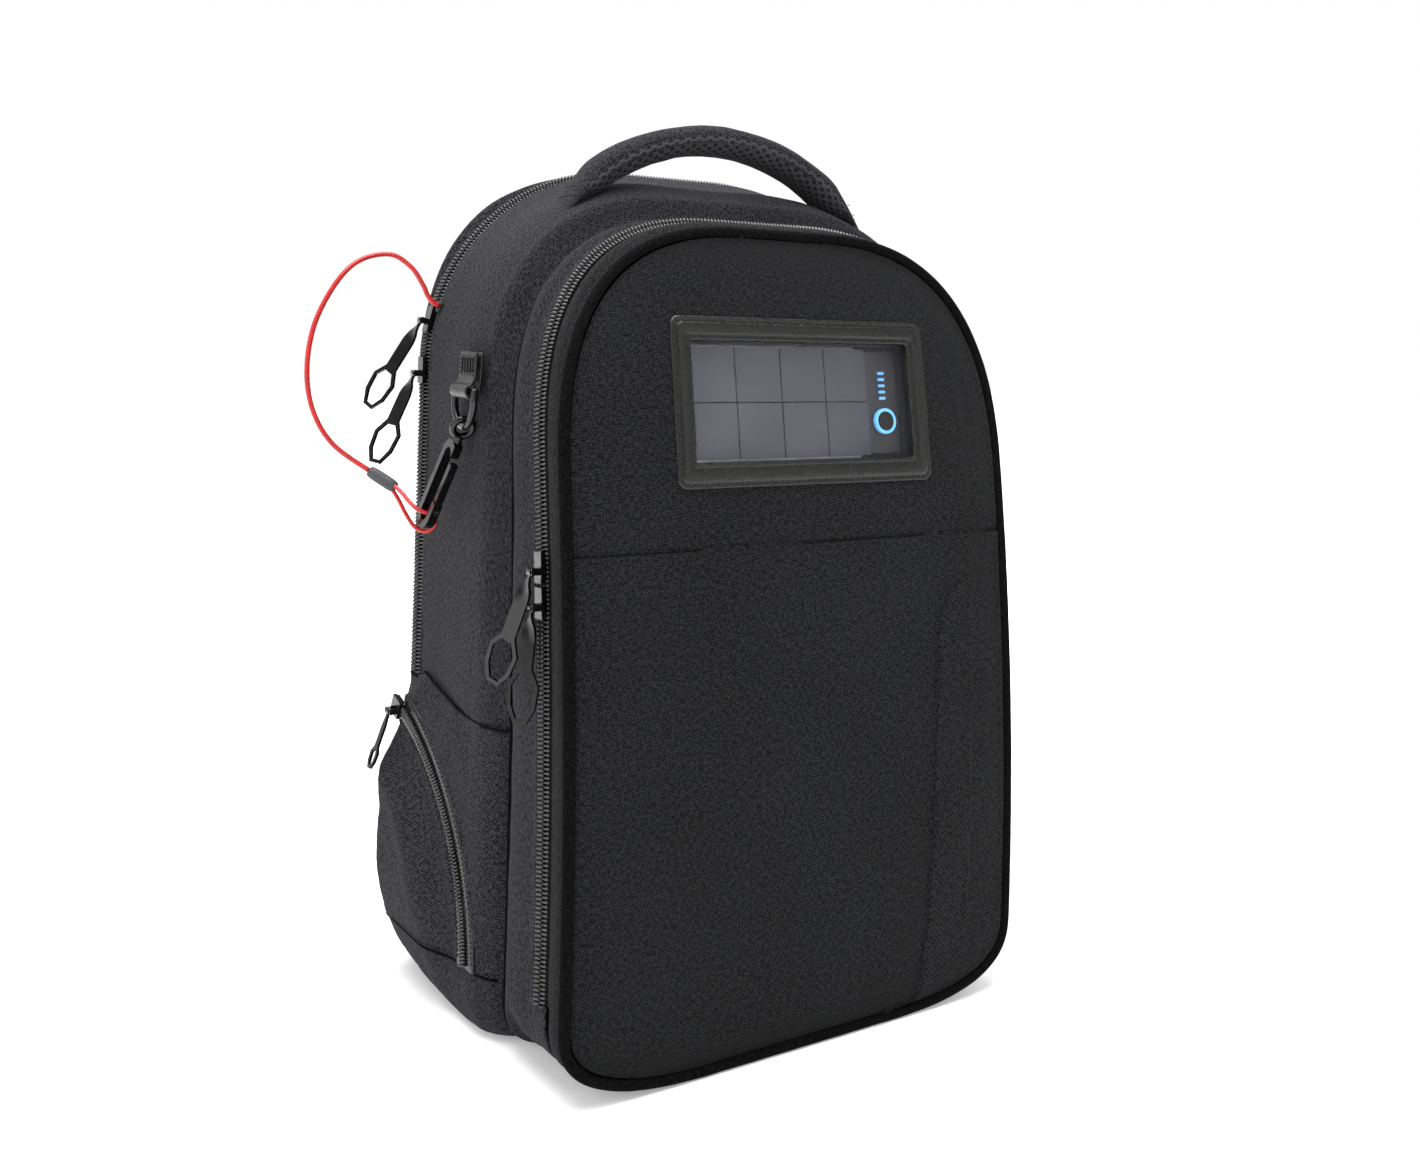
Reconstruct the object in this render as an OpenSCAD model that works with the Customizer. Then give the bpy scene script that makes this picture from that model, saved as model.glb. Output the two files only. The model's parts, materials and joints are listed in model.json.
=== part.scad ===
// Backpack with a solar power bank behind a window in its front panel.
// Millimetres. Seen from the solar front, +X is to the right. -Y is the front, +Y the straps, +Z up.
// The origin is on the floor, in the middle of the flat base.

/* [Front compartment] */
// Width of the front panel, between the centres of its piping
front_w = 290; // [286:1:294]
// Height of the top edge of the front panel
front_top = 446; // [442:1:450]
// Distance from the origin to the lower front face
front_y = 100; // [98:1:102]
// How far the top of the front panel leans back
lean_top = 44; // [40:1:46]
// Height where the front panel starts to lean back
lean_from = 60; // [56:1:64]
// Height of the fold where the front panel hinges down
front_fold_z = 44.5; // [44:0.1:46]

/* [Main compartment] */
// Width of the main compartment at the rear zip
rear_w = 322; // [318:1:324]
// Height of the main compartment at the rear zip
rear_top = 487; // [485:1:489]
// Distance from the origin to the rear zip
rear_zip_y = 88; // [87:1:89]
// Distance from the origin to the seam of the back panel
back_seam_y = 112; // [110:1:113]
// Height of the fold where the back panel hinges down
back_fold_z = 177; // [175:1:180]

/* [Fabric and zips] */
// Thickness of the padded fabric walls
wall = 3; // [2.6:0.1:3.2]
// Radius of the piping round the front panel
piping_r = 3; // [2.5:0.1:3.2]
// Half the gap between the two rows of zip coil
coil_gap = 1.2; // [1.1:0.1:1.4]
// Half the width of the pair of zip coils
coil_edge = 3.6; // [3.4:0.1:3.7]
// Clearance between neighbouring sewn pieces
seam_gap = 0.3; // [0.2:0.05:0.4]

/* [Window and power bank] */
// Width of the leather window frame
window_w = 172; // [168:1:176]
// Height of the leather window frame
window_h = 94; // [90:1:96]
// Width of the clear opening
opening_w = 148; // [144:1:149]
// Height of the clear opening
opening_h = 67; // [64:1:68]
// Distance of the window's middle from the middle of the bag
window_x = 5; // [0:1:8]
// Height of the window's middle
window_z = 352; // [348:1:356]
// Tilt of the window with the front panel
window_tilt = 9.9; // [9:0.1:11]
// Width of the power bank
bank_w = 158; // [156:1:160]
// Height of the power bank
bank_h = 77; // [75:1:78]

/* [Zip hardware] */
// Radius of the pins that the zip pulls hang on
pin_r = 1; // [0.9:0.05:1.1]
// Radial clearance of each running fit
run_fit = 0.06; // [0.03:0.01:0.09]
// Length of the large zip pulls
pull_len = 62; // [56:1:64]
// Height of the upper front slider
front_slider_hi = 266; // [262:1:268]
// Height of the lower front slider
front_slider_lo = 248; // [244:1:249]

/* [Handle and ring] */
// Half the distance between the ends of the grip
handle_half = 76; // [70:1:80]
// Height of the middle of the grip
handle_top = 508; // [506:1:512]
// Radius of the wire of the side ring
ring_wire = 2; // [1.8:0.1:2.1]
// Inner radius of the curve of the side ring
ring_r = 13; // [12:0.5:14]
// Diameter of the lock cable
cable_d = 3; // [2.6:0.1:3.4]

/* [Hidden] */

// Points in each corner and along each side of an outline
corner_n = 7;
side_n = 6;

// Outlines: half width, top, top corner width and height, foot width and height, bottom, power
piping_o = [front_w / 2, front_top, 120, 136, 90, 40, piping_r, 2.6];
front_zip_o = [front_w / 2 + 1, front_top + 5, 120, 136, 80, 40, 2, 2.6];
front_swell_o = [front_w / 2 + 5, front_top + 8, 118, 134, 70, 42, 1, 2.6];
groove_o = [front_w / 2 + 3, front_top + 9, 114, 130, 36, 28, 0, 2.5];
shoulder_o = [rear_w / 2 - 5, rear_top - 21, 116, 128, 22, 22, 0, 2.4];
ridge_o = [rear_w / 2 - 1, rear_top - 12, 120, 127, 14, 18, 0, 2.3];
crown_o = [rear_w / 2, rear_top - 4, 124, 126, 14, 18, 0, 2.1];
rear_o = [rear_w / 2, rear_top, 125, 125, 20, 26, 0, 2];
back_o = [rear_w / 2 - 10, rear_top - 9, 118, 118, 34, 36, 4, 2];

// The arc that the front face follows above lean_from
lean_r = (pow(front_top - lean_from, 2) + pow(lean_top, 2)) / (2 * lean_top);
front_zip_y = -front_y + 25;
plate_t = 4;
fold_gap = 0.5;

// The left pocket's zip lies in an upright plane, turned outwards towards the back
pocket_x = -160.6;
pocket_y = -3;
pocket_turn = 8;
pocket_arc_y = 138;
pocket_arc_z = 32;
pocket_arc_r = 138;
pocket_arc_top = 112;
pocket_arc_sweep = 70;

// Sliders and pulls
slider_len = 16;
slider_w = 9;
slider_t = 2.2;
slider_out = 2.2;
slider_in = 4.9;
pin_out = 7.8;
pin_drop = -2;
lug_t = 1.2;
lug_gap = 4.8;
barrel_len = 4.2;
barrel_r = 2;
pull_t = 1.6;
ring_half = 9.5;

// The ring on the left side, and what hangs from it
ring_x = -166.5;
ring_y = 8;
ring_bar_z = 353;
ring_drop = 5;
hook_tilt = 26;
hook_lean = 11.5;
hook_turn = 2;
hook_w = 19;
hook_bar = 4.5;
hook_top = -10;
hook_end = -66;
gate_y = -7.25;
gate_z = -49.5;
gate_tip = -20.4;

// The gland that the lock cable leaves by: where its foot is, and how it slants upwards
gland_at = [-155.9, 78, 399.2];
gland_slant = 17;
gland_h = 3;

// The way that the lock cable takes, from its gland to its ferrule
CABLE = [
    [-158.9, 78, 400.2], [-162.6, 78.2, 402.4], [-165.6, 78.8, 406.5], [-168, 79.6, 412],
    [-175, 81.5, 422.5], [-188, 82, 429.5], [-206, 82, 425], [-220, 80, 411], [-232, 78, 387],
    [-236, 76, 361], [-233, 72, 338], [-222.5, 67, 319], [-203.4, 60.3, 304.3]
];
ferrule_from = [-203, 60, 304];
ferrule_to = [-190.5, 50, 295];
ferrule_r = 3.6;
// The loop at the cable's end, in the hook's frame: through the hook and round its end
EYE = [
    [-16.9, 20.8, -54.9], [-13, 14.6, -55.6], [-9.6, 8.9, -57], [-6.2, 3.8, -57.8],
    [-1.8, 1.3, -58.2], [2.5, -0.9, -58.6], [5.4, -2, -61], [5.8, -1.8, -65],
    [3, -0.6, -69.4], [-2.5, 3.4, -70], [-8, 9.8, -66], [-12.8, 15.4, -61], [-16.9, 20.8, -57.7]
];

function lean(z) = z <= lean_from ? 0 : lean_r - sqrt(lean_r * lean_r - pow(z - lean_from, 2));

function inset(o, t) = [
    o[0] - t, o[1] - t, o[2] - t / 2, o[3] - t / 2, o[4] - t / 2, o[5] - t / 2, o[6] + t, o[7]
];

// One quarter of a rounded corner, from the foot's bottom or from the side to the top
function foot_points(o) = [
    for (i = [0 : corner_n]) let (t = 90 * i / corner_n, p = 2 / o[7])
        [o[0] - o[4] + o[4] * pow(sin(t), p), o[6] + o[5] - o[5] * pow(cos(t), p)]
];
function top_points(o) = [
    for (i = [0 : corner_n]) let (t = 90 * i / corner_n, p = 2 / o[7])
        [o[0] - o[2] + o[2] * pow(cos(t), p), o[1] - o[3] + o[3] * pow(sin(t), p)]
];
function side_points(o, low, from) = [
    for (i = [from : side_n - 1]) [o[0], low + (o[1] - o[3] - low) * i / side_n]
];
function mirrored(list) = [for (i = [len(list) - 1 : -1 : 0]) [-list[i][0], list[i][1]]];

// The right half of the whole outline, of its arch above a height, and of its foot below one
function half_loop(o) = concat(foot_points(o), side_points(o, o[6] + o[5], 1), top_points(o));
function half_arch(o, low) = concat(side_points(o, low, 0), top_points(o));
function half_foot(o, high) = concat(foot_points(o), [[o[0], high]]);

function loop(o) = concat(half_loop(o), mirrored(half_loop(o)));
function arch(o, low) = concat(half_arch(o, low), mirrored(half_arch(o, low)));
function foot(o, high) = concat(mirrored(half_foot(o, high)), half_foot(o, high));

// Half the width of an outline at one height
function half_at(o, z) = lookup(z, [for (p = half_loop(o)) [p[1], p[0]]]);

function smooth(t) = let (c = max(0, min(1, t))) c * c * (3 - 2 * c);

// A solid through rings of equal size, either open with flat ends or closed on itself
module sweep(rings, closed = false) {
    n = len(rings);
    m = len(rings[0]);
    sides = [
        for (i = [0 : n - (closed ? 1 : 2)], j = [0 : m - 1])
            let (a = i * m + j, b = i * m + (j + 1) % m)
            let (c = ((i + 1) % n) * m + (j + 1) % m, d = ((i + 1) % n) * m + j)
            each [[a, c, b], [a, d, c]]
    ];
    ends = closed ? [] : [[for (j = [0 : m - 1]) j], [for (j = [m - 1 : -1 : 0]) (n - 1) * m + j]];
    polyhedron(points = [for (r = rings) each r], faces = concat(sides, ends), convexity = 8);
}

// A sewn strip that follows an outline. Each station is an outline, its offset outwards,
// its depth, and how much of the front's lean it takes.
module strip(stations, kind, cut = 0) {
    grid = [
        for (s = stations)
            let (o = inset(s[0], -s[1]))
            let (path = kind == "loop" ? loop(o) : kind == "arch" ? arch(o, cut) : foot(o, cut))
            [for (p = path) [p[0], s[2] + s[3] * lean(p[1]), p[1]]]
    ];
    rings = [for (i = [0 : len(grid[0]) - 1]) [for (g = grid) g[i]]];
    sweep(rings, kind == "loop");
}

// A fabric wall between two outlines
function wall_stations(list) = concat(
    [for (s = list) [s[0], 0, s[1], s[2]]],
    [for (i = [len(list) - 1 : -1 : 0]) [list[i][0], -wall, list[i][1], list[i][2]]]
);
function box_stations(o, n0, n1, y0, y1, k) = [
    [o, n1, y0, k], [o, n1, y1, k], [o, n0, y1, k], [o, n0, y0, k]
];
function round_stations(o, y, r, k) = [
    for (j = [0 : 7]) [o, r * cos(j * 45), y + r * sin(j * 45), k]
];

// A plate inside an outline, between two heights and two depths
module plate(o, low, high, y0, y1, k) {
    heights = [for (p = half_loop(o)) if (p[1] > low + 0.5 && p[1] < high - 0.5) p[1]];
    rings = [
        for (z = concat([low], heights, [high]))
            let (w = half_at(o, z), y = k * lean(z))
            [[w, y0 + y, z], [w, y1 + y, z], [-w, y1 + y, z], [-w, y0 + y, z]]
    ];
    sweep(rings);
}

// A tube along a list of points, with its sides square to the way it runs
function unit(v) = v / norm(v);
function along(pts, i) = unit(pts[min(i + 1, len(pts) - 1)] - pts[max(i - 1, 0)]);
module tube(pts, r, sides) {
    rings = [
        for (i = [0 : len(pts) - 1])
            let (t = along(pts, i), u = unit(cross(t, [0, 1, 0.2])), v = cross(t, u))
            [for (j = [0 : sides - 1]) pts[i] + r * (cos(j * 360 / sides) * u + sin(j * 360 / sides) * v)]
    ];
    sweep(rings);
}

// A point on a smooth curve through a list of points, for a step between two of them
function spline(p, i, t) =
    let (a = p[max(i - 1, 0)], b = p[i], c = p[i + 1], d = p[min(i + 2, len(p) - 1)])
    0.5 * (2 * b + (c - a) * t + (2 * a - 5 * b + 4 * c - d) * t * t
        + (3 * b - a - 3 * c + d) * t * t * t);
function curve(p, steps) = concat(
    [for (i = [0 : len(p) - 2], k = [0 : steps - 1]) spline(p, i, k / steps)],
    [p[len(p) - 1]]
);

// A flat block with round corners, centred in X and Z, its depth from y0 to y1
module rounded_block(w, h, r, y0, y1) {
    translate([0, y1, 0]) rotate([90, 0, 0]) linear_extrude(y1 - y0) {
        square([w - 2 * r, h], center = true);
        square([w, h - 2 * r], center = true);
        for (x = [-1, 1], z = [-1, 1])
            translate([x * (w / 2 - r), z * (h / 2 - r)]) circle(r, $fn = 32);
    }
}

// A block centred in X and Z, its depth from y0 to y1
module block(w, h, y0, y1) {
    translate([-w / 2, y0, -h / 2]) cube([w, y1 - y0, h]);
}

// ---- Main compartment ----

module main_gusset() {
    color([0.24, 0.235, 0.26]) strip(wall_stations([
        [groove_o, -27, 0.5], [shoulder_o, -12, 0.3], [ridge_o, 20, 0],
        [crown_o, 60, 0], [rear_o, rear_zip_y - coil_edge - seam_gap, 0]
    ]), "loop");
}

module rear_band_lower() {
    color([0.2, 0.2, 0.21]) strip(wall_stations([
        [rear_o, rear_zip_y - coil_edge, 0], [rear_o, rear_zip_y + 8, 0], [back_o, back_seam_y, 0]
    ]), "foot", back_fold_z - fold_gap);
}

module rear_band() {
    color([0.2, 0.2, 0.21]) strip(wall_stations([
        [rear_o, rear_zip_y + coil_edge + seam_gap, 0], [rear_o, rear_zip_y + 8, 0],
        [back_o, back_seam_y, 0]
    ]), "arch", back_fold_z + fold_gap);
}

module divider_panel() {
    color([0.16, 0.16, 0.17])
        plate(inset(groove_o, wall + seam_gap), 4, front_top + 5, -27, -24.5, 0.5);
}

module laptop_sleeve() {
    color([0.18, 0.18, 0.2]) translate([-146, 66, 18]) cube([292, 4, 282]);
}

module back_panel_lower() {
    color([0.14, 0.14, 0.15])
        plate(inset(back_o, 0.5), 5, back_fold_z - fold_gap, back_seam_y + seam_gap,
            back_seam_y + plate_t, 0);
}

module back_panel_upper() {
    color([0.14, 0.14, 0.15])
        plate(inset(back_o, 0.5), back_fold_z + fold_gap, rear_top - 9.5,
            back_seam_y + seam_gap, back_seam_y + plate_t, 0);
}

module rear_zip_body_side() {
    color([0.07, 0.07, 0.07])
        strip(box_stations(rear_o, -2.2, 1.8, rear_zip_y - coil_edge, rear_zip_y - coil_gap, 0),
            "arch", back_fold_z + fold_gap);
}

module rear_zip_panel_side() {
    color([0.07, 0.07, 0.07])
        strip(box_stations(rear_o, -2.2, 1.8, rear_zip_y + coil_gap, rear_zip_y + coil_edge, 0),
            "arch", back_fold_z + fold_gap);
}

// ---- Front compartment ----

module front_gusset() {
    color([0.23, 0.225, 0.25]) strip(wall_stations([
        [front_zip_o, front_zip_y + coil_edge + seam_gap, 1], [front_swell_o, -50, 0.75],
        [groove_o, -29, 0.5]
    ]), "loop");
}

module front_band() {
    color([0.15, 0.15, 0.16]) strip(wall_stations([
        [piping_o, -front_y + piping_r + 1.3, 1],
        [front_zip_o, front_zip_y - coil_edge - seam_gap, 1]
    ]), "arch", front_fold_z + fold_gap);
}

module front_band_lower() {
    color([0.15, 0.15, 0.16]) strip(wall_stations([
        [piping_o, -front_y + piping_r + 1.3, 1], [front_zip_o, front_zip_y + coil_edge, 1]
    ]), "foot", front_fold_z - fold_gap);
}

module front_piping_upper() {
    color([0.05, 0.05, 0.05])
        strip(round_stations(piping_o, -front_y + 1, piping_r, 1), "arch", front_fold_z + fold_gap);
}

module front_piping_lower() {
    color([0.05, 0.05, 0.05])
        strip(round_stations(piping_o, -front_y + 1, piping_r, 1), "foot", front_fold_z - fold_gap);
}

module front_zip_body_side() {
    color([0.07, 0.07, 0.07])
        strip(box_stations(front_zip_o, -2.2, 1.8, front_zip_y + coil_gap, front_zip_y + coil_edge, 1),
            "arch", front_fold_z + fold_gap);
}

module front_zip_panel_side() {
    color([0.07, 0.07, 0.07])
        strip(box_stations(front_zip_o, -2.2, 1.8, front_zip_y - coil_edge, front_zip_y - coil_gap, 1),
            "arch", front_fold_z + fold_gap);
}

module front_panel_lower() {
    color([0.17, 0.175, 0.185])
        plate(inset(piping_o, piping_r + seam_gap), 7, front_fold_z - fold_gap,
            -front_y, -front_y + plate_t, 1);
}

module front_panel_upper() {
    color([0.17, 0.175, 0.185]) difference() {
        plate(inset(piping_o, piping_r + seam_gap), front_fold_z + fold_gap,
            front_top - piping_r - seam_gap, -front_y, -front_y + plate_t, 1);
        at_window() block(opening_w + 2, opening_h + 2, -5, 12);
    }
}

module organizer_pocket() {
    color([0.2, 0.2, 0.22]) difference() {
        translate([-110, -38, 30]) cube([220, 8, 180]);
        translate([-108, -36, 32]) cube([216, 4.4, 190]);
    }
}

// ---- Window and power bank, in a frame that lies on the front face ----

module at_window() {
    translate([window_x, -front_y + lean(window_z), window_z]) rotate([-window_tilt, 0, 0]) children();
}

button_x = 60.5;
button_z = -11.5;
button_r = 5.7;
light_r = 7.5;
led_pitch = 3.7;
led_top = 17;
bank_y = 5;
glass_t = 1.2;
split_y = 12.5;
back_y = 20;

module window_frame() {
    color([0.06, 0.06, 0.06]) at_window() difference() {
        rounded_block(window_w, window_h, 6, -1.9, -0.1);
        block(opening_w, opening_h, -4, 4);
    }
}

module window_film() {
    color([0.5, 0.52, 0.6, 0.3]) at_window() block(opening_w + 1, opening_h + 1, 0.5, 0.9);
}

module solar_glass() {
    color([0.25, 0.26, 0.32, 0.5]) at_window() difference() {
        block(bank_w - 8.4, bank_h - 8.4, bank_y, bank_y + glass_t);
        at_button() cylinder(r = light_r + 0.1, h = 20, $fn = 48);
    }
}

// A frame at the button, with its Z into the bag
module at_button() {
    translate([button_x, bank_y - 2, button_z]) rotate([-90, 0, 0]) children();
}

module solar_cells() {
    cell_w = 29.4;
    cell_h = 30.8;
    color([0.2, 0.2, 0.27]) at_window()
        for (i = [0 : 3], j = [0 : 1])
            translate([-56.5 + i * (cell_w + 0.8), 0, (j - 0.5) * (cell_h + 0.8)])
                block(cell_w, cell_h, bank_y + glass_t + 0.2, bank_y + glass_t + 0.6);
}

module power_bank_front() {
    color([0.1, 0.1, 0.1]) at_window() difference() {
        rounded_block(bank_w, bank_h, 5, bank_y, split_y);
        block(bank_w - 8, bank_h - 8, bank_y - 1, bank_y + glass_t + 0.1);
        block(bank_w - 12, bank_h - 12, bank_y - 1, split_y + 1);
        block(bank_w - 4, bank_h - 4, bank_y + 2.4, split_y + 1);
        usb_hole();
    }
}

module power_bank_back() {
    color([0.1, 0.1, 0.1]) at_window() difference() {
        rounded_block(bank_w, bank_h, 5, split_y + 0.1, back_y);
        block(bank_w - 4, bank_h - 4, split_y - 1, back_y - 1.8);
        usb_hole();
    }
}

usb_z = -14;
usb_y = 10.4;
module usb_hole() {
    translate([bank_w / 2 - 4, usb_y - 0.2, usb_z - 7.7]) cube([6, 7, 15.4]);
}

module usb_socket() {
    color([0.6, 0.6, 0.62]) at_window() translate([bank_w / 2 - 14.5, usb_y, usb_z - 7.3])
        difference() {
            cube([14, 6.6, 14.6]);
            translate([1, 0.6, 0.6]) cube([14, 5.4, 13.4]);
        }
}

module circuit_board() {
    color([0.05, 0.25, 0.12]) at_window() translate([61, 0, 0]) block(24, 60, 8.8, 9.8);
}

module battery_cells() {
    color([0.5, 0.5, 0.55]) at_window()
        for (z = [-1, 1]) translate([-13, 0, z * 17]) block(116, 32, 9, 16.5);
}

module status_lights() {
    color([0.3, 0.65, 0.95]) at_window() {
        for (i = [0 : 4])
            translate([button_x, 0, led_top - i * led_pitch]) block(4.2, 1.5, 6.5, 7.7);
        at_button() translate([0, 0, 1.9]) difference() {
            cylinder(r = light_r, h = 2.6, $fn = 48);
            translate([0, 0, -1]) cylinder(r = button_r + 0.08, h = 5, $fn = 48);
        }
    }
}

module power_button() {
    color([0.12, 0.12, 0.13]) at_window() at_button() translate([0, 0, 1.7])
        cylinder(r = button_r, h = 2.8, $fn = 48);
}

module power_bank_sleeve() {
    color([0.2, 0.2, 0.2]) at_window() difference() {
        block(bank_w + 8, bank_h + 8, bank_y + 0.1, 23);
        block(bank_w + 5, bank_h + 5, bank_y - 1, 21.5);
        translate([bank_w / 2 + 1, usb_y - 1, usb_z - 9]) cube([6, 9, 18]);
    }
}

// ---- Side pockets ----

GUSSET = [
    [-27, groove_o], [-12, shoulder_o], [20, ridge_o], [60, crown_o],
    [84, rear_o], [96, rear_o], [back_seam_y, back_o]
];
pocket_low = 5;
pocket_front = -25;
pocket_back = 106;
pocket_step_y = 14;
pocket_step_z = 16;
pocket_t = 2.2;
pocket_gap = 1.1;
// Further out over the rear band, whose rounded foot stands out
pocket_band_gap = 0.5;
pocket_band_y = 88;

function gusset_x(y, z) = lookup(y, [for (s = GUSSET) [s[0], half_at(s[1], z)]]);
function pocket_high(y) = lookup(y, [[-30, 171], [10, 173], [70, 182.4], [83, 176.4], [110, 176]]);

// How far the pocket has risen from its sewn edge, 0 to 1
function pocket_rise(y, z) =
    smooth((y - pocket_front) / 20) * smooth((pocket_back - y) / 20)
    * sin(90 * min(1, (z - pocket_low) / 70)) * smooth((pocket_high(y) - z) / 20);
function pocket_swell(y, z) =
    let (q = norm([(y - pocket_y) / cos(pocket_turn) - pocket_arc_y, z - pocket_arc_z]))
    12 * smooth((pocket_arc_r - 20 - q) / 30);
function pocket_out(y, z) =
    let (gap = pocket_gap + pocket_band_gap * smooth((y - pocket_band_y) / 8))
    let (edge = gusset_x(y, z) + pocket_t + gap)
    let (flat = -pocket_x + (y - pocket_y) * tan(pocket_turn) - 0.3)
    edge + pocket_rise(y, z) * max(0, flat + pocket_swell(y, z) - edge);

module right_pocket() {
    rows = [
        for (i = [0 : pocket_step_z])
            [for (j = [0 : pocket_step_y])
                let (y = pocket_front + (pocket_back - pocket_front) * j / pocket_step_y)
                let (z = pocket_low + (pocket_high(y) - pocket_low) * pow(i / pocket_step_z, 1.35))
                [pocket_out(y, z), y, z]]
    ];
    sweep([
        for (row = rows) concat(
            row, [for (j = [len(row) - 1 : -1 : 0]) row[j] - [pocket_t, 0, 0]]
        )
    ]);
}

// A frame on the left pocket's zip plane, with its origin at the arc's centre
module at_pocket() {
    translate([pocket_x, pocket_y, 0]) rotate([0, 0, pocket_turn])
        translate([0, pocket_arc_y, pocket_arc_z]) children();
}

module left_pocket_zip() {
    at_pocket() rotate([90, 0, 90]) rotate([0, 0, pocket_arc_top - 4])
        for (r = [pocket_arc_r - coil_edge, pocket_arc_r + coil_gap])
            rotate_extrude(angle = pocket_arc_sweep, $fn = 96)
                translate([r, -1.7]) square([coil_edge - coil_gap, 1.8]);
}

module both_sides() {
    for (x = [0, 1]) mirror([x, 0, 0]) children();
}

module side_pockets() {
    color([0.23, 0.225, 0.25]) both_sides() right_pocket();
}
module pocket_zips() {
    color([0.07, 0.07, 0.07]) both_sides() left_pocket_zip();
}

// ---- Back padding and straps ----

module pad(w, h, r, t) {
    rounded_block(w, h, r, back_seam_y + plate_t + seam_gap, back_seam_y + plate_t + t);
}

module lumbar_pad() {
    color([0.12, 0.12, 0.13]) translate([0, 0, 92]) pad(184, 140, 22, 14);
}

module back_pads() {
    color([0.12, 0.12, 0.13])
        for (x = [-1, 1]) translate([x * 62, 0, 320]) pad(104, 236, 24, 12);
}

// The line that one shoulder strap follows down the back, as X, Y, Z and width
STRAP = [
    [40, 122, 462, 54], [44, 129, 450, 58], [52, 137, 428, 64], [59, 142, 390, 66], [68, 143, 340, 66],
    [79, 143, 290, 60], [90, 141, 245, 50], [97, 138, 212, 40]
];
strap_t = 9;
strap_steps = 3;

function strap_ring(p, t) = [
    [p[0] - p[3] / 2, p[1] - t / 2, p[2]], [p[0] - p[3] / 2 + 3, p[1] + t / 2, p[2]],
    [p[0] + p[3] / 2 - 3, p[1] + t / 2, p[2]], [p[0] + p[3] / 2, p[1] - t / 2, p[2]]
];

module shoulder_straps() {
    color([0.16, 0.16, 0.17]) both_sides()
        sweep([for (p = curve(STRAP, strap_steps)) strap_ring(p, strap_t)]);
}

lock_x = 98;
lock_z = 197;
lock_y = 137.5;

module ladder_locks() {
    color([0.08, 0.08, 0.08])
        for (x = [-1, 1]) translate([x * lock_x, lock_y, lock_z]) difference() {
            block(34, 28, -3, 3);
            for (z = [-7.5, 0, 7.5]) translate([0, 0, z]) block(27, 4.2, -5, 5);
        }
}

WEB = [[98, 137, 182], [104, 133, 150], [112, 127, 110], [120, 121.5, 72], [124, 120, 58]];
web_w = 24;
web_t = 1.6;

module strap_webbings() {
    color([0.1, 0.1, 0.1]) both_sides()
        sweep([for (p = WEB) strap_ring(concat(p, [web_w]), web_t)]);
}

module strap_anchors() {
    color([0.08, 0.08, 0.08]) both_sides()
        translate([0, back_seam_y + plate_t + 7, 0]) rotate([90, 0, 0]) linear_extrude(6.7)
            polygon([[112, 20], [138, 20], [140, 36], [136, 56], [112, 56]]);
}

// ---- Carry handle ----

handle_y = 24;
handle_w = 27;
handle_t = 19;
handle_r = 138.4;
handle_end = asin(handle_half / handle_r);

module handle_grip() {
    color([0.2, 0.2, 0.22]) sweep([
        for (a = [-handle_end : handle_end / 9 : handle_end + 0.01])
            [for (j = [0 : 11])
                let (r = handle_r + handle_t / 2 * sin(j * 30))
                [r * sin(a), handle_y + handle_w / 2 * cos(j * 30),
                    handle_top - handle_r + r * cos(a)]]
    ]);
}

// The sewn ends carry on along the same arc, from the ends of the grip down to the gusset
module handle_anchors() {
    color([0.2, 0.2, 0.22]) both_sides()
        translate([0, handle_y + 12, 0]) rotate([90, 0, 0]) linear_extrude(24)
            polygon([
                [71.3, 477], [81.7, 492.8], [90, 487], [98.5, 480], [108, 469], [111, 461.2],
                [100, 465.5], [92, 469.3], [84, 472.3], [76, 474.4]
            ]);
}

// ---- Zip sliders and pulls ----

// The lugs and the level pin that a pull hangs on, with the outside towards -X
module pull_holder() {
    lug_x = pin_out + 1.4;
    for (y = [-1, 1])
        translate([-lug_x, y * (lug_gap + lug_t) / 2 - lug_t / 2, pin_drop - 1.7])
            cube([lug_x - slider_out - 0.5, lug_t, 3.4]);
    translate([-pin_out, -lug_gap / 2 - lug_t, pin_drop]) rotate([-90, 0, 0])
        cylinder(r = pin_r, h = lug_gap + 2 * lug_t, $fn = 32);
}

// A slider on a zip that runs up and down at the origin: two plates, joined by a post
// that passes between the coils
module slider() {
    for (x = [-slider_out - slider_t, slider_in])
        translate([x, -slider_w / 2, -slider_len / 2]) cube([slider_t, slider_w, slider_len]);
    translate([-slider_out - 0.5, -0.7, 0]) cube([slider_out + slider_in + 1, 1.4, 6]);
    pull_holder();
}

// A pocket slider runs outside its zip, with a flange over each edge of the coils
module pocket_slider() {
    at_pocket_slider() {
        translate([-slider_out - slider_t, -5.6, -5]) cube([slider_t, 11.2, 10]);
        for (y = [-1, 1]) translate([-slider_out - 0.5, y * 4.8 - 0.6, -4]) cube([1.9, 1.2, 8]);
        rotate([-pocket_arc_top, 0, 0]) pull_holder();
    }
}

// The frames of the four sliders on the left side
module at_front_slider(z) {
    tilt = asin((z - lean_from) / lean_r);
    translate([-front_zip_o[0], front_zip_y + lean(z), z]) rotate([-tilt, 0, 0]) children();
}
rear_arc_x = -(rear_o[0] - rear_o[2]);
rear_arc_z = rear_o[1] - rear_o[3];
rear_slider_turn = 13.5;
rear_slider_low_z = 361;
module at_rear_slider_upper() {
    translate([rear_arc_x, rear_zip_y, rear_arc_z]) rotate([0, rear_slider_turn, 0])
        translate([-rear_o[2], 0, 0]) children();
}
module at_rear_slider_lower() {
    translate([-rear_o[0], rear_zip_y, rear_slider_low_z]) children();
}
module at_pocket_slider() {
    at_pocket() rotate([pocket_arc_top, 0, 0]) translate([0, pocket_arc_r, 0]) children();
}

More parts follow.
